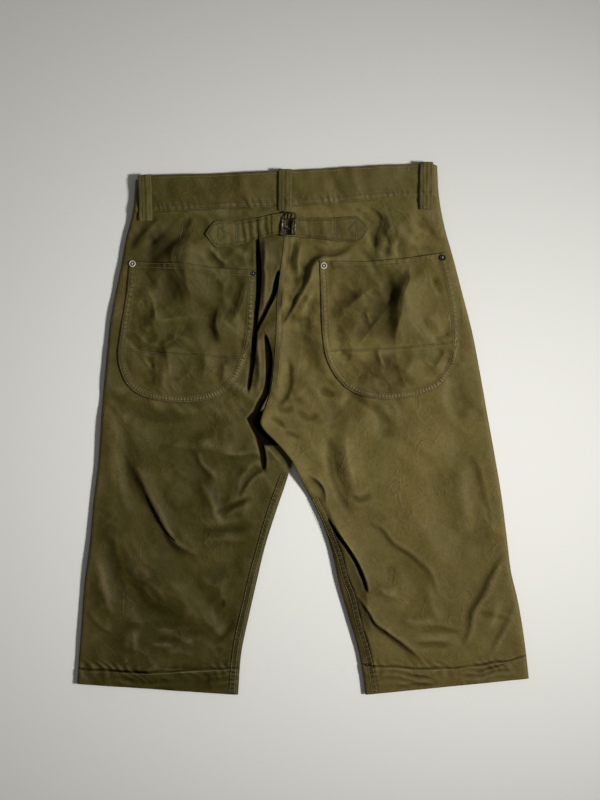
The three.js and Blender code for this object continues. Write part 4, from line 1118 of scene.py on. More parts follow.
# Painted shade along the seam's rows and its left edge.
strip_painted_shade = 1.4 * sewn([*seat_rows, beside(SEAT_SEAM, -4.6)], strip[..., 0], strip[..., 1], 0.9)
cloth_wall("seat_seam", strip, 0.9, sunk=strip_painted_shade, material=RIGHT_COTTON)
stitch_rows("seat_seam_thread", seat_rows, lambda x, y: seat_height(x, y) + SEAT_PROUD)

for side, word in SIDES.items():
    hem = [(x, y - HEM_ROW) for x, y in HEM_LINES[side][1:-1]]
    rows = [hem, DARTS[side], inseam_row(side, LEG_ROW), inseam_row(side, FELL_FAR)]
    stitch_rows(word + "_leg_thread", rows, lambda x, y, s=side: back_height(x, y, s))

# ---- Waistband ----
# A straight band of the same cotton, doubled, sewn over the top edge of the panels with two rows
# of stitches that pucker it. Behind it is one piece; in front two halves meet at the button.
BAND_THICKNESS = 2.2
BAND_ROWS = (2.4, 8.6)     # the two rows of thread, up from the band's foot
BAND_TOP_ROW = 3.6         # the single row, down from its top
BAND_TOP = [(-225, 329), (-216, 332.5), (-204, 335), (-180, 336.5), (-137, 337.5), (-79, 339.5),
            (-34, 341.5), (28, 344.5), (90, 348), (149, 350.5), (172, 351), (179, 349)]
BAND_FOOT = [(-228, 285.5), (-190, 286.5), (-153, 288), (-97, 291), (-44, 292.5), (2, 295), (49, 298.5),
             (100, 303), (140, 304.5), (184, 305.5)]


def along_x(points, x):
    """y of a curve that runs across the garment, at each x."""
    return edge_x(points[::-1], x)


def band_height(x, y):
    """Height of the band's outer face: over the panels, with soft upright folds where the strap
    gathers it and puckers along the two rows of stitches."""
    foot, top = along_x(BAND_FOOT, x), along_x(BAND_TOP, x)
    up = (y - foot) / (top - foot)
    seat = seat_height(x, np.minimum(y, foot - 2))
    under = seat + (EDGE_HEIGHT + 1.6 - seat) * ease(0.25 + 1.1 * up)
    near_strap = bell(x + 5, 105)
    slant = x + 0.35 * (y - foot)
    gathers = near_strap * (0.75 * uneven(slant * 2.4, y * 0.5, 60, 21)
                            + 0.75 * uneven(slant, y * 0.3, 24, 26))
    phase = 2 * np.pi * (slant / 9.2) + 2.6 * uneven(x, 0 * y, 50, 22)
    puckers = (bell(y - foot - 7, 6.5)
               * (np.sin(phase) - 0.7 * np.maximum(0, -np.sin(phase)) ** 5)
               * (0.5 + 0.5 * uneven(x, 0 * y, 55, 23)))
    grooves = -sum(deep * bell(y - foot - row, 0.9)
                   for deep, row in zip((0.75, 0.45), BAND_ROWS))
    grooves = grooves - 0.35 * bell(top - y - BAND_TOP_ROW, 0.9)
    rolled = -1.3 * np.exp(-np.maximum(0, top - y) / 1.1) - 0.9 * np.exp(-np.maximum(0, y - foot) / 0.8)
    dents = 0.9 * uneven(x, y, 70, 24) + 0.32 * uneven(x, y, 30, 27)
    creased = 0.10 * (facets(x + 0.5 * y, y * 0.8, 34, 66) - 13) * ease(0.5 + uneven(x, y, 90, 67))
    return under + 1.7 + gathers + 0.62 * puckers + grooves + rolled + dents + creased


def band_grid(count=300, rounding=6):
    """The band as a grid: rows from the top edge to the foot, columns from left to right, both
    ends rounding down to the middle height."""
    up = np.concatenate([np.linspace(1, 0.9, 9), np.linspace(0.87, 0.28, 20), np.linspace(0.26, 0, 22)])
    left, right = -225.0, 181.0
    angle = np.linspace(np.pi / 2, 0, rounding)
    inset = CURL * (1 - np.sin(angle))
    flat = np.linspace(left + CURL, right - CURL, count + 2)[1:-1]
    x = np.concatenate([left + inset, flat, right - inset[::-1]])
    turn = np.concatenate([angle, 0 * flat, angle[::-1]])
    x = np.broadcast_to(x, (len(up), len(x)))
    foot, top = along_x(BAND_FOOT, x), along_x(BAND_TOP, x)
    y = foot + (top - foot) * up[:, None]
    shift = (edge_x(LEFT_SIDE, y[:, :1]) - left) * (1 - (x - left) / (right - left))
    shift = shift + (edge_x(RIGHT_SIDE, y[:, -1:]) - right) * (x - left) / (right - left)
    z = MIDDLE + (band_height(x + shift, y) - MIDDLE) * np.cos(turn)
    return np.stack([x + shift, y, z], -1)


BAND_COTTON = cotton("waistband cotton", 0.45)
band_rows = [[(x, y + lift) for x, y in BAND_FOOT[1:-1]] for lift in BAND_ROWS]
band_rows += [[(x, y - BAND_TOP_ROW) for x, y in BAND_TOP[2:-1]]]
band_face = band_grid()
band_x, band_y = band_face[..., 0], band_face[..., 1]
between_rows = smooth_line([(x, y + sum(BAND_ROWS) / 2) for x, y in BAND_FOOT], 12)
# Painted shade along the band's two rows, a painted highlight on the ribs between them, and painted shade
# over its left half and painted light over its right, as the window light falls.
band_shade_and_highlight = 1.2 * sewn([smooth_line(row, 12) for row in band_rows[:2]], band_x, band_y, 0.8)
band_shade_and_highlight = band_shade_and_highlight - 1.2 * ribs(between_rows, band_x, band_y, 0, 3.1, 8.0, 93)
band_shade_and_highlight = band_shade_and_highlight + 0.85 * ease((20 - band_x) / 160) - 0.3 * ease((band_x - 20) / 100)
band = cloth_wall("waistband_back_cloth", band_face, BAND_THICKNESS, ["waistband_back"],
                  sunk=band_shade_and_highlight, material=BAND_COTTON)
stitch_rows("waistband_thread", band_rows, band_height)

# ---- Back patch pockets ----
# A round-footed patch on each side, its edge turned in and sewn with two rows 6 mm apart, which
# pucker it, its mouth hemmed. A straight row low across it holds a second layer behind it.
POCKETS = {
    "left": {
        "side": "L",
        "mouth": [(-230, 222), (-195, 221), (-157, 219), (-117, 214), (-62, 210.5)],
        "left": [(-230, 222), (-233, 185), (-241, 135), (-245, 103), (-244, 86), (-240, 72), (-234, 60),
                 (-226, 51)],
        "right": [(-62, 210.5), (-64, 170), (-66, 135), (-71, 104), (-78, 82), (-87, 65), (-98, 52)],
        "foot": [(-226, 51), (-217, 45), (-202, 39.5), (-184, 36), (-165, 34.5), (-145, 34.8),
                 (-128, 37.3), (-112, 43), (-98, 52)],
        "row": [(-240, 106), (-200, 101), (-157, 98), (-120, 96), (-74, 94)],
    },
    "right": {
        "side": "R",
        "mouth": [(22, 222.5), (60, 222), (92, 222.5), (134, 226.5), (188, 234)],
        "left": [(22, 222.5), (23.5, 182), (25, 135), (27.5, 110), (31, 94), (37.5, 79), (46, 66),
                 (56, 55)],
        "right": [(188, 234), (198, 198), (205.5, 158), (208, 120), (206.5, 100), (201, 83), (193, 68.5),
                  (182, 56)],
        "foot": [(56, 55), (68, 47.5), (82, 42.5), (98, 39.5), (113, 38.5), (132, 39.6), (150, 42.8),
                 (168, 48.8), (182, 56)],
        "row": [(28, 103), (80, 104), (130, 107), (170, 111), (207, 116)],
    },
}
POCKET_CELLS = 172
ROW_IN = (1.9, 8.2)        # the two rows of thread, in from the edge
MOUTH_ROWS = (7.6, 1.8)    # those of the mouth's hem, down from the mouth


def resampled(points, count):
    """A curve through the points, as so many points at even distances along it."""
    line = smooth_line(points, 2.0)
    return places_on(line, np.linspace(0, lengths_along(line)[-1], count))


def patch_between(top, foot, left, right, count):
    """Points of a four-sided patch: the blend of its four edges less that of its corners
    (Coons' formula). Rows run from top to foot and columns from left to right."""
    evenly = np.linspace(0, 1, count)
    crowded = evenly - 0.22 * np.sin(2 * np.pi * evenly) / (2 * np.pi)
    t, f, l, r = (np.stack([np.interp(crowded, evenly, along) for along in resampled(edge, count).T], 1)
                  for edge in (top, foot, left, right))
    t, f, l, r = t[None], f[None], l[:, None], r[:, None]
    u, v = crowded[None, :, None], crowded[:, None, None]
    corners = ((1 - u) * (1 - v) * t[:, :1] + u * (1 - v) * t[:, -1:]
               + (1 - u) * v * f[:, :1] + u * v * f[:, -1:])
    return (1 - v) * t + v * f + (1 - u) * l + u * r - corners


def pocket_edge(pocket):
    """The sewn edge of a pocket: down its left side, round the foot and up its right side."""
    return np.vstack([smooth_line(pocket["left"], 5)[:-1], smooth_line(pocket["foot"], 5)[:-1],
                      smooth_line(pocket["right"][::-1], 5)])


def pocket_ticks(pocket, x, y):
    """The ribs along the pocket's edge, closest together round the foot."""
    return ribs(pocket_edge(pocket), x, y, sum(ROW_IN) / 2, 2.6, 4.3 + 1.8 * ease((y - 95) / 40), 31)


def pocket_height(pocket):
    """The height function of one pocket: on its panel, thicker along the turned edge and the
    hemmed mouth, with the puckers and grooves of its stitches."""
    edge = pocket_edge(pocket)

    def height(x, y):
        """The height of the patch's outer face at any points."""
        x, y = np.asarray(x, float), np.asarray(y, float)
        off = np.abs(from_line(edge, x, y)[0])
        mouth = np.abs(from_line(smooth_line(pocket["mouth"], 8), x, y)[0])
        row = np.abs(from_line(pocket["row"], x, y)[0])
        puckers = pocket_ticks(pocket, x, y) - 0.35
        mouth_phase = 2 * np.pi * x / 8.5 + 2.2 * uneven(x, y, 40, 34)
        mouth_puckers = np.sin(mouth_phase) * bell(mouth - 4.2, 4.2)
        mouth_puckers = mouth_puckers * (0.4 + 0.5 * uneven(x, y, 50, 35))
        grooves = sum(bell(off - row_in, 0.85) for row_in in ROW_IN)
        grooves = grooves + 0.9 * bell(mouth - MOUTH_ROWS[0], 0.9)
        doubled = np.maximum(1 - ease((off - 9.0) / 1.6), 1 - ease((mouth - 8.4) / 1.4))
        rolled = np.exp(-np.minimum(off, mouth) / 0.7)
        layer = ease(from_line(pocket["row"], x, y)[0] / -1.5)
        own = 0.15 * (facets(x + 0.4 * y, 0.8 * y, 30, 36) - 11) * ease((off - 9) / 14)
        return (back_height(x, y, pocket["side"]) + 0.5 + CLOTH + 0.85 * doubled + 0.75 * puckers
                + 0.4 * mouth_puckers - 0.55 * grooves - 0.8 * rolled - 0.5 * bell(row, 0.9)
                + 0.4 * layer + own)

    return height


# As on the legs, the left pocket is painted darker and the right paler: painted shade and painted light.
POCKET_COTTON = {"left": cotton("left pocket cotton", 0.27), "right": cotton("right pocket cotton", 0.75)}
POCKET_STITCH_SHADE, POCKET_RIB_HIGHLIGHT = 1.5, 1.2
for word, pocket in POCKETS.items():
    height = pocket_height(pocket)
    xy = patch_between(pocket["mouth"], pocket["foot"], pocket["left"], pocket["right"], POCKET_CELLS)
    x, y = xy[..., 0], xy[..., 1]
    outer = np.stack([x, y, height(x, y)], -1)
    round_edge = [*pocket["left"][:-1], *pocket["foot"][:-1], *pocket["right"][::-1]]
    rows = [beside(round_edge, row_in) for row_in in ROW_IN]
    rows += [[(at_x, at_y - down) for at_x, at_y in pocket["mouth"]] for down in MOUTH_ROWS] + [pocket["row"]]
    # Painted shade along the rows and beside the folds, painted light where a SHADES strength is negative,
    # and a painted highlight on the ribs.
    pocket_shade_and_highlight = POCKET_STITCH_SHADE * sewn(rows, x, y, 0.8) - POCKET_RIB_HIGHLIGHT * pocket_ticks(pocket, x, y)
    pocket_shade_and_highlight = pocket_shade_and_highlight + shade(x, y, pocket["side"])
    patch = cloth_wall(f"pocket_{word}_cloth", outer, CLOTH, ["pocket_" + word], sunk=pocket_shade_and_highlight,
                       material=POCKET_COTTON[word])
    stitch_rows(f"pocket_{word}_thread", rows, height)

# ---- Belt loops ----
# Narrow straps of folded cotton over the waistband, sewn with two rows along their length, the
# ends turned under and tacked down with a short row of stitches across.
LOOP_WIDTH = 17.5
LOOP_ROW = 5.4             # its two rows of thread, out from the middle
LOOP_TACK = 2.6            # the tacked ends, in from each end
BACK_LOOPS = {
    "loop_back_left": [(-209.5, 336.5), (-208, 305), (-208, 275)],
    "loop_back_centre": [(-23.5, 344), (-23.5, 318), (-23.8, 288)],
    "loop_back_right": [(163.5, 353.5), (163, 322), (162.5, 289.5)],
}


def loop_height(x, y, line):
    """Height of a belt loop's outer face: over the band and the seam below it, bowed clear of
    them, with rounded long edges and two sewn grooves."""
    off, along, length = from_line(line, x, y)
    across = off / (LOOP_WIDTH / 2)
    over = np.maximum(band_height(x, np.maximum(y, along_x(BAND_FOOT, x) + 1)), seat_height(x, y) + 1.0)
    bow = 1.8 * np.sin(np.pi * np.clip(along / length, 0, 1)) ** 0.7
    arch = 0.4 * (1 - across ** 2) - 0.9 * np.abs(across) ** 8
    grooves = -0.7 * bell(np.abs(off) - LOOP_ROW, 0.85) - 0.5 * bell(off, 0.9)
    ends = -0.5 * sum(bell(from_end - LOOP_TACK, 0.9) for from_end in (along, length - along))
    return over + 2.2 + bow + arch + grooves + ends + 0.3 * uneven(x * 2, y, 26, 43)


def strip_grid(line, width, height, rows, columns):
    """A grid across and along a nearly upright strip, from its top to its foot."""
    place, way = evenly_along(line, lengths_along(smooth_line(line, 3.0))[-1] / rows)
    side = np.stack([-way[:, 1], way[:, 0]], 1)
    v = np.sin(np.linspace(-np.pi / 2, np.pi / 2, columns))
    xy = place[:, None] + side[:, None] * v[None, :, None] * width / 2
    return np.concatenate([xy, height(xy[..., 0], xy[..., 1], line)[..., None]], -1)


for node, line in BACK_LOOPS.items():
    grid = strip_grid(line, LOOP_WIDTH, loop_height, 70, 27)
    rows = [beside(line, LOOP_ROW), beside(line, -LOOP_ROW)]
    # Painted shade along the loop's sewn rows and its middle.
    loop_painted_shade = 1.0 * sewn([*rows, line], grid[..., 0], grid[..., 1], 0.8)
    strap = cloth_wall(node + "_cloth", grid, 1.8, [node], sunk=loop_painted_shade,
                       material=BAND_COTTON)
    tacks = [[(x + out, y + up) for out in (-7, 0, 7)]
             for (x, y), up in ((line[0], -LOOP_TACK), (line[-1], LOOP_TACK))]
    stitch_rows(node + "_thread", [*rows, *tacks], lambda x, y, at=line: loop_height(x, y, at))

# ---- Cinch straps ----
# Two pointed tabs of doubled cotton, sewn down round their outer ends, that meet in a buckle over
# the seat seam. The left one is pulled tight and puckers towards the buckle.
STRAPS = {                 # pleats are given as x, half width and rise
    "left": {
        "top": [(-129, 259), (-116.5, 275), (-84, 275.2), (-60, 279), (-40, 283.5), (-27, 285)],
        "foot": [(-129, 257), (-115, 240), (-87, 243.5), (-66, 249.5), (-45, 256), (-27, 258)],
        "side": "L",
        "pleats": [(-104, 3, 0.5), (-98, 2.6, -0.6), (-92, 2.5, 0.6), (-80.5, 2.6, -1.2), (-76, 2.6, 1.1),
                   (-71.5, 2.3, -1.7), (-66, 3, 1.2), (-60.5, 2.3, -2.0), (-55, 3, 1.4),
                   (-49.5, 2.5, -2.0), (-45.5, 2.2, 0.9)],
    },
    "right": {
        "top": [(-15, 279), (5, 279), (45, 279.5), (72, 282), (88, 267)],
        "foot": [(-15, 255), (5, 253), (30, 250.5), (45, 248), (74, 247.5), (88, 265)],
        "side": "R",
        "pleats": [(6, 3, -0.7), (12, 3, 0.6), (21, 3.5, -0.5), (29, 4, 0.5), (36, 2.6, -0.5), (53, 4, 0.6),
                   (62, 3, -0.6)],
    },
}


def strap_height(strap):
    """Height of a cinch strap's outer face: over its panel, held down at the pointed end and
    lifting and puckering towards the buckle."""
    edge = np.vstack([smooth_line(strap["top"], 4), smooth_line(strap["foot"][::-1], 4)])

    def height(x, y):
        """The height of the tab's outer face at any points."""
        x, y = np.asarray(x, float), np.asarray(y, float)
        off = np.abs(from_line(edge, x, y)[0])
        towards = np.exp(-((x + 21) / (26 if strap["side"] == "L" else 18)) ** 2)
        lean = x + 0.12 * (y - 265) + 0.8 * uneven(x, y, 22, 41)
        pleats = 0.62 * sum(high * bell(lean - at, wide) for at, wide, high in strap["pleats"])
        grooves = bell(off - 2.9, 0.85)
        rolled = np.exp(-off / 0.7)
        under = back_height(x, y, strap["side"])
        level = under + (np.minimum(under, EDGE_HEIGHT + 3.5) + 1.0 - under) * towards
        keeper = 1.3 * ease((x + 41.6) / 1.2) if strap["side"] == "L" else 0.0
        return (level + 0.6 + 2.2 + 1.4 * towards + pleats * ease(off / 3 + 0.35) - 0.75 * grooves
                - 0.9 * rolled + 0.4 * uneven(x, y, 20, 42) + keeper)

    return height


def between(top, foot, rows, columns):
    """A grid between an upper and a lower edge, both given from left to right."""
    t, f = resampled_even(top, columns), resampled_even(foot, columns)
    v = np.linspace(0, 1, rows)[:, None, None]
    return (1 - v) * t[None] + v * f[None]


def resampled_even(points, count):
    """A bent line through the points with its corners kept, as so many points at even x."""
    line_x, line_y = np.array(points, float).T
    x = np.linspace(line_x[0], line_x[-1], count)
    return np.stack([x, np.interp(x, line_x, line_y)], 1)


STRAP_COTTON = cotton("strap cotton", 0.5)
STRAP_STITCH_SHADE = 2.2
for word, strap in STRAPS.items():
    height = strap_height(strap)
    xy = between(strap["top"], strap["foot"], 38, 120)
    x, y = xy[..., 0], xy[..., 1]
    outer = np.stack([x, y, height(x, y)], -1)
    if word == "left":
        round_tab = [(-54, 277), (-84, 272.6), (-115.5, 272.4), (-126, 258), (-114.5, 243), (-87, 246.2),
                     (-54, 255)]
        box = [[(-88, 272.5), (-88, 246.3)], [(-85, 272.5), (-85, 246.6)]]
        cross = [[(-114, 270), (-100, 258)], [(-114, 246), (-100, 258)], [(-112, 271), (-112, 245)]]
    else:
        round_tab = [(-5, 276.4), (45, 277), (71.5, 279.4), (85, 266), (73.5, 250.2), (45, 250.6), (5, 255.4)]
        box = [[(43, 277), (43, 250.8)], [(46, 277), (46, 250.7)], [(71, 279), (71, 250.4)]]
        cross = [[(72, 277), (60, 264)], [(72, 252), (60, 264)]]
    rows = [round_tab, *box, *cross]
    # Painted shade along the strap's sewn rows.
    strap_painted_shade = STRAP_STITCH_SHADE * sewn(rows, x, y, 0.9)
    tab = cloth_wall(f"strap_{word}_cloth", outer, 2.0, ["strap_" + word], sunk=strap_painted_shade,
                     material=STRAP_COTTON)
    stitch_rows(f"strap_{word}_thread", rows, height, pitch=2.6, smooth=False)

# ---- Cinch buckle ----
# A small pressed-steel frame with a bar across its middle and two prongs that pierce the right
# strap. It is dark plated, and the plating has rubbed to bright metal on its edges; the bright rods
# along its edges are also a painted highlight where the light catches the frame.
BUCKLE_CENTRE = (-19.5, 270.5)
BUCKLE_WIDTH = 17.5
BUCKLE_TALL = 30.0
BUCKLE_WIRE = 1.35
BUCKLE_TILT = math.radians(-4)
BUCKLE_LEVEL = 15.6


def worn_metal(name, dark, bright, rough):
    """Plated metal: dark plating, brighter where an uneven field says that it has rubbed."""
    material, tree, shader = new_material(name)
    rub = noise_field(tree, 380, 5)
    tree.links.new(colour_ramp(tree, rub, dark, bright, 0.46, 0.64), shader.inputs["Base Color"])
    scratch = value_node(tree, "ShaderNodeMath", operation="MULTIPLY_ADD")
    scratch.inputs[1].default_value, scratch.inputs[2].default_value = 0.25, rough
    tree.links.new(rub, scratch.inputs[0])
    tree.links.new(scratch.outputs[0], shader.inputs["Roughness"])
    add_bump(tree, rub, shader, 0.3, 0.0002)
    shader.inputs["Metallic"].default_value = 1.0
    return material


def rod(path, radius, sides=10, closed=False):
    """Points and faces of a round rod along a path in space: a ring of points round each path
    point, square to its direction, and a flat cap at each open end."""
    path = np.array(path, float)
    way = unit(np.roll(path, -1, 0) - np.roll(path, 1, 0)) if closed else unit(np.gradient(path, axis=0))
    up = np.array([0.0, 0.0, 1.0])
    across = np.cross(way, up)
    flat = np.linalg.norm(across, axis=1) < 1e-3
    across[flat] = (1, 0, 0)
    across = unit(across)
    over = np.cross(across, way)
    angle = np.arange(sides) * 2 * np.pi / sides
    ring = (across[:, None] * np.cos(angle)[None, :, None] + over[:, None] * np.sin(angle)[None, :, None])
    points = (path[:, None] + ring * np.broadcast_to(radius, len(path))[:, None, None]).reshape(-1, 3)
    faces = []
    last = len(path) if closed else len(path) - 1
    for k in range(last):
        n = (k + 1) % len(path)
        for j in range(sides):
            m = (j + 1) % sides
            faces.append((k * sides + j, k * sides + m, n * sides + m, n * sides + j))
    if not closed:
        faces += [tuple(range(sides))[::-1], tuple(range(last * sides, (last + 1) * sides))]
    return points, faces


def joined(parts):
    """Several sets of points and faces as one."""
    points, faces, start = [], [], 0
    for some_points, some_faces in parts:
        points.append(some_points)
        faces += [tuple(int(i) + start for i in face) for face in some_faces]
        start += len(some_points)
    return np.vstack(points), faces


def rounded_loop(width, tall, corner, count=8):
    """A rectangle with round corners as a ring of points."""
    quarter = np.linspace(0, np.pi / 2, count)
    ring = []
    for k, (sx, sy) in enumerate(((1, 1), (-1, 1), (-1, -1), (1, -1))):
        angle = quarter + k * np.pi / 2
        ring.append(np.stack([sx * (width / 2 - corner) + corner * np.cos(angle),
                              sy * (tall / 2 - corner) + corner * np.sin(angle)], 1))
    return np.vstack(ring)


def on_buckle(points):
    """Points of the flat buckle turned by its tilt and put in its place."""
    x, y, z = np.array(points, float).T
    c, s = math.cos(BUCKLE_TILT), math.sin(BUCKLE_TILT)
    return np.stack([BUCKLE_CENTRE[0] + x * c - y * s, BUCKLE_CENTRE[1] + x * s + y * c, BUCKLE_LEVEL + z], 1)


def raised(ring, z=0.0):
    """Flat points with a height."""
    return np.column_stack([ring, np.full(len(ring), z)])


BAR_X = -1.5               # the middle bar, across the buckle from its centre
PRONG_Y = (-6.0, 6.0)      # the two prongs, along the buckle from its centre
frame_ring = raised(rounded_loop(BUCKLE_WIDTH, BUCKLE_TALL, 3.2))
bar = [(BAR_X, -BUCKLE_TALL / 2, 0), (BAR_X, 0, 0.2), (BAR_X, BUCKLE_TALL / 2, 0)]
buckle_parts = [rod(on_buckle(frame_ring), BUCKLE_WIRE, closed=True), rod(on_buckle(bar), 1.15)]
for level in PRONG_Y:
    prong = [(BAR_X, level, 0.4), (1.5, level, 1.5), (5, level, 1.6), (8.2, level, 0.9), (9.6, level, 0.0)]
    buckle_parts.append(rod(on_buckle(prong), [1.0, 1.0, 0.9, 0.7, 0.35]))
    curl = [(BAR_X + 1.5 * math.cos(a), level, 0.2 + 1.5 * math.sin(a))
            for a in np.linspace(0, 1.5 * np.pi, 9)]
    buckle_parts.append(rod(on_buckle(curl), 0.9))
buckle_points, buckle_faces = joined(buckle_parts)

put_in_scene("buckle_metal", buckle_points, buckle_faces, ["buckle"],
             material=worn_metal("dark plated steel", (0.022, 0.016, 0.012), (0.17, 0.14, 0.11), 0.42))
# Bright rods along the frame's edges: rubbed plating and a painted highlight.
edge = BUCKLE_WIDTH / 2
rubbed_highlight_paths = (([(edge + 0.5, -12.5, 0.5), (edge + 0.5, 0, 0.6), (edge + 0.5, 12.5, 0.5)], 1.05),
                ([(1 - edge, -13, 0.4), (1 - edge, 0, 0.6), (1 - edge, 13, 0.4)], 1.3),
                ([(-edge - 1.5, -11.5, 0.3), (-edge + 1.5, -14.4, 0.9), (0, -15.4, 1.0),
                  (edge - 1, -14.6, 0.6)], 0.9))
rubbed_highlight_points, rubbed_highlight_faces = joined([rod(on_buckle(path), radius) for path, radius in rubbed_highlight_paths])
put_in_scene("buckle_rubbed_highlight_rods", rubbed_highlight_points, rubbed_highlight_faces,
             material=worn_metal("rubbed steel highlight", (0.08, 0.070, 0.058), (0.40, 0.38, 0.33), 0.42))

# ---- Rivets ----
# A pressed nickel cap at each pocket corner: a bright round rim, a sunk dark ring and a small
# raised middle, riveted through the cloth.
RIVETS = {"rivet_1": (-225.7, 218.6), "rivet_2": (-65.4, 205.8), "rivet_3": (27.6, 215.8),
          "rivet_4": (185.2, 226.8)}
# Radius and height of points from the middle to the rim, and how pale each is on a good and on a
# worn cap.
RIVET_PROFILE = [(0.0, 0.4), (0.3, 0.45), (0.5, 1.1), (0.85, 1.3), (1.15, 1.0), (1.3, 0.3), (2.1, 0.2),
                 (2.95, 0.3), (3.15, 1.0), (3.4, 1.45), (3.8, 1.4), (4.15, 0.9), (4.3, 0.2), (4.3, -0.8)]
NICKEL_PALE = [0.0, 0.0, 0.8, 1.0, 0.8, 0.0, 0.0, 0.0, 0.9, 1.0, 1.0, 0.8, 0.3, 0.1]
WORN_PALE = [1.0, 0.9, 0.7, 0.3, 0.05, 0.0, 0.0, 0.0, 0.0, 0.06, 0.06, 0.03, 0.0, 0.0]
RIVET_SIDES = 28


def turned_cap(profile, centre, lean, sides):
    """Points and faces of a profile of radius and height turned round an axis that leans the way
    of the cloth under it."""
    angle = np.arange(sides) * 2 * np.pi / sides
    radius, height = np.array(profile, float).T
    axis = unit(np.array(lean, float))
    one = unit(np.cross(axis, (0.0, 1.0, 0.0)))
    other = np.cross(axis, one)
    ring = one * np.cos(angle)[:, None] + other * np.sin(angle)[:, None]
    centre = np.array(centre)
    points = (centre + ring[None] * radius[1:, None, None] + axis * height[1:, None, None]).reshape(-1, 3)
    points = np.vstack([points, centre + axis * height[0], centre + axis * height[-1]])
    k, j = np.meshgrid(np.arange(len(radius) - 2), np.arange(sides), indexing="ij")
    k, j = k.ravel(), j.ravel()
    m = (j + 1) % sides
    faces = np.stack([k * sides + j, (k + 1) * sides + j, (k + 1) * sides + m, k * sides + m], 1).tolist()
    top, foot, base = len(points) - 2, len(points) - 1, (len(radius) - 2) * sides
    faces += [(top, a, (a + 1) % sides) for a in range(sides)]
    faces += [(foot, base + (a + 1) % sides, base + a) for a in range(sides)]
    return points, faces


def rivet_metal(name, sunk, rim):
    """Dull metal whose grooves hold dirt: the two colours are blended by how pale each ring is."""
    material = worn_metal(name, sunk, rim, 0.42)
    tree = material.node_tree
    shader = tree.nodes["Principled BSDF"]
    ring = value_node(tree, "ShaderNodeAttribute", attribute_name="ridge")
    tree.links.new(colour_ramp(tree, ring.outputs["Fac"], sunk, rim), shader.inputs["Base Color"])
    shader.inputs["Metallic"].default_value = 0.2
    shader.inputs["Specular IOR Level"].default_value = 0.12
    return material


NICKEL = rivet_metal("nickel", (0.006, 0.005, 0.004), (0.78, 0.74, 0.61))
heights = {word: pocket_height(pocket) for word, pocket in POCKETS.items()}
for node, (x, y) in RIVETS.items():
    height = heights["left" if x < -40 else "right"]
    spot = np.array([[x, y], [x + 3, y], [x - 3, y], [x, y + 3], [x, y - 3]])
    z = height(spot[:, 0], spot[:, 1])
    lean = ((z[2] - z[1]) / 6 * 0.5, (z[4] - z[3]) / 6 * 0.5, 1.0)
    size = 0.8 if node == "rivet_2" else 1.0
    points, faces = turned_cap([(r * size, h * size) for r, h in RIVET_PROFILE], (x, y, z.mean() + 0.4), lean,
                               RIVET_SIDES)
    rings = NICKEL_PALE if node in ("rivet_1", "rivet_3") else WORN_PALE
    pale = np.concatenate([np.repeat(rings[1:], RIVET_SIDES), [rings[0], rings[-1]]])
    put_in_scene(node + "_cap", points, faces, [node], pale, material=NICKEL)

# ---- Front panels, front waistband, fly and button ----
# The underside: two flat panels, the doubled band in two halves over a riveted button, and the
# fly flap. They lie on the board, lifted a little over the loops, fly and button beneath them.
FLY = {"left": -68.0, "right": -24.0, "foot": 128.0, "round": 30.0, "top": 288.0}
BUTTON = {"x": -38.0, "y": 315.0, "radius": 8.5, "lift": 3.0, "spread": 34.0}
FRONT_LIFT = 1.6


def front_height(x, y):
    """Height of the front's outer face above the board."""
    over_loops = ease((y - 235) / 30)
    beside_fly = np.maximum(np.maximum(FLY["left"] - x, x - FLY["right"]), np.maximum(FLY["foot"] - y, 0))
    over_fly = ease((44 - beside_fly) / 30)
    away = np.hypot(x - BUTTON["x"], y - BUTTON["y"])
    over_button = ease((BUTTON["spread"] - away) / (BUTTON["spread"] - BUTTON["radius"] - 4))
    return FRONT_LIFT * np.maximum(over_loops, over_fly) + (BUTTON["lift"] - FRONT_LIFT) * over_button


def front_panel(side):
    """The outer (lower) face of a front panel as a grid, rows down and columns to the right."""
    level, inside, outside = panel_rows(side, 4.5)
    straight = CROTCH[0] + (level - CROTCH[1]) / (CENTRE_WAIST_Y - CROTCH[1]) * (-22 - CROTCH[0])
    inside[:, 0] = np.where(level > CROTCH[1], straight, inside[:, 0])
    curl_in = ease((CROTCH[1] + 4 - level) / 8)
    x, y, turn_in, turn_out = spread(inside, outside, curl_in, count=52, crowd=1.0)
    edge = MIDDLE - 0.15
    z = edge + (front_height(x, y) - edge) * np.cos(turn_in) * np.cos(turn_out)
    grid = np.stack([x, y, z], -1)
    return grid[:, ::-1] if side == "L" else grid


for side, word in SIDES.items():
    node = "front_" + word
    panel = cloth_wall(node + "_cloth", front_panel(side), CLOTH, [node], facing=-1.0,
                       material=LEFT_COTTON if side == "L" else RIGHT_COTTON)
    hem = [(x, y - 3) for x, y in HEM_LINES[side][1:-1]]
    stitch_rows(node + "_thread", [hem, inseam_row(side, 2.0)], front_height, up=-1.0)


def front_band_height(x, y):
    """Height of the front band's outer face: the front's, with two sewn grooves at its foot."""
    foot = along_x(BAND_FOOT, x)
    grooves = sum(bell(y - foot - row, 0.9) for row in BAND_ROWS)
    return np.maximum(0.1, front_height(x, y) - 0.9 + 0.35 * grooves)


def front_band(left, right):
    """A half of the front band as a grid; its outer end rolls up to the side."""
    x = np.linspace(left, right, 110)[None, :]
    foot, top = along_x(BAND_FOOT, x), along_x(BAND_TOP, x) - 0.6
    y = foot + (top - foot) * np.linspace(1, 0, 34)[:, None]
    x = np.broadcast_to(x, y.shape)
    outward = (edge_x(LEFT_SIDE, y) + 0.8) - x if left < -100 else x - (edge_x(RIGHT_SIDE, y) - 0.8)
    roll = np.clip(1 + outward / CURL, 0, 1)
    level = front_band_height(x, y)
    x = np.where(outward > 0, x + outward * (1 if left < -100 else -1), x)
    z = level + (MIDDLE - level) * (1 - np.sqrt(1 - roll ** 2))
    return np.stack([x, y, z], -1)


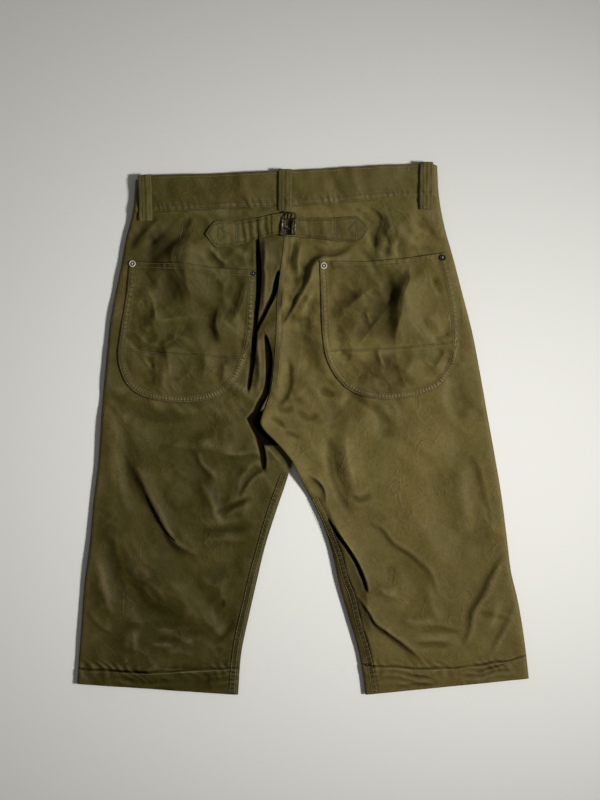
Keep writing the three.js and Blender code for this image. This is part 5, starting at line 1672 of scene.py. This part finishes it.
FRONT_SPLIT = -22.0
for word, left, right in (("left", -226.0, FRONT_SPLIT - 0.4), ("right", FRONT_SPLIT + 0.4, 183.0)):
    half_band = cloth_wall(f"waistband_front_{word}_cloth", front_band(left, right), BAND_THICKNESS,
                           ["waistband_front_" + word], facing=-1.0, material=BAND_COTTON)
    inside = np.linspace(left + 10, right - 10, 12)
    rows = [[(x, float(along_x(BAND_FOOT, x)) + lift) for x in inside] for lift in BAND_ROWS]
    stitch_rows(f"waistband_front_{word}_thread", rows, front_band_height, up=-1.0)

# The fly: a flap of the same cotton sewn over the right front, its free side curving in at the
# foot, held down by a double row of stitches that follows the curve.
FLY_ROWS = (2.5, 8.0)
corner = np.linspace(0, np.pi / 2, 12)
fly_edge = [(FLY["left"], FLY["top"]), (FLY["left"], FLY["foot"] + 2 * FLY["round"])]
fly_edge += [(FLY["right"] - (FLY["right"] - FLY["left"]) * math.cos(a),
              FLY["foot"] + 2 * FLY["round"] * (1 - math.sin(a))) for a in corner[1:]]
fly_y = np.linspace(FLY["top"], FLY["foot"] + 0.3, 90)
edge_y, edge_at = [y for _, y in fly_edge][::-1], [x for x, _ in fly_edge][::-1]
fly_left = np.interp(fly_y, edge_y, edge_at)
fly_x = fly_left[:, None] + (FLY["right"] - fly_left)[:, None] * np.linspace(0, 1, 34)[None, :]
fly_off = np.abs(fly_x - fly_left[:, None])
fly_z = 0.25 + 0.3 * sum(bell(fly_off - row, 0.9) for row in FLY_ROWS)
fly_z = fly_z + 0.3 * np.exp(-fly_off / 0.8)
fly_grid = np.stack([fly_x, np.broadcast_to(fly_y[:, None], fly_x.shape), fly_z], -1)
fly = cloth_wall("fly_cloth", fly_grid, CLOTH - 0.2, ["fly"], facing=-1.0, material=RIGHT_COTTON)
fly_rows = [[(x + row, y) for x, y in fly_edge[:-2]] for row in FLY_ROWS]
stitch_rows("fly_thread", fly_rows, lambda x, y: 0 * x + 0.4, up=-1.0)

# The waist button: a pressed metal cap, face down, with a raised rim.
BUTTON_PROFILE = [(0.0, 0.5), (4.2, 0.5), (5.2, 0.0), (7.4, 0.0), (8.2, 0.3), (8.5, 0.9), (8.5, 1.7),
                  (7.2, 2.6)]
points, faces = turned_cap(BUTTON_PROFILE, (BUTTON["x"], BUTTON["y"], 0.05), (0, 0, 1.0), 40)
put_in_scene("button_cap", points, faces, ["button"],
             material=worn_metal("button metal", (0.10, 0.09, 0.075), (0.42, 0.39, 0.33), 0.3))

# The two front belt loops, flat under the front band.
FRONT_LOOPS = {"loop_front_left": (-138, 335, 277), "loop_front_right": (94, 347, 286)}
for node, (x, top, foot) in FRONT_LOOPS.items():
    across, down = np.meshgrid(np.linspace(-LOOP_WIDTH / 2, LOOP_WIDTH / 2, 15), np.linspace(top, foot, 40))
    z = 0.1 + 0.25 * bell(np.abs(across) - LOOP_ROW, 0.8)
    z = z + 0.4 * np.abs(across / (LOOP_WIDTH / 2)) ** 8
    strap = cloth_wall(node + "_cloth", np.stack([x + across, down, z], -1), CLOTH - 0.1, [node],
                       facing=-1.0, material=BAND_COTTON)
    rows = [[(x + out, top - 2), (x + out, foot + 2)] for out in (-LOOP_ROW, LOOP_ROW)]
    stitch_rows(node + "_thread", rows, lambda x, y: 0 * x + 0.35, up=-1.0, smooth=False)
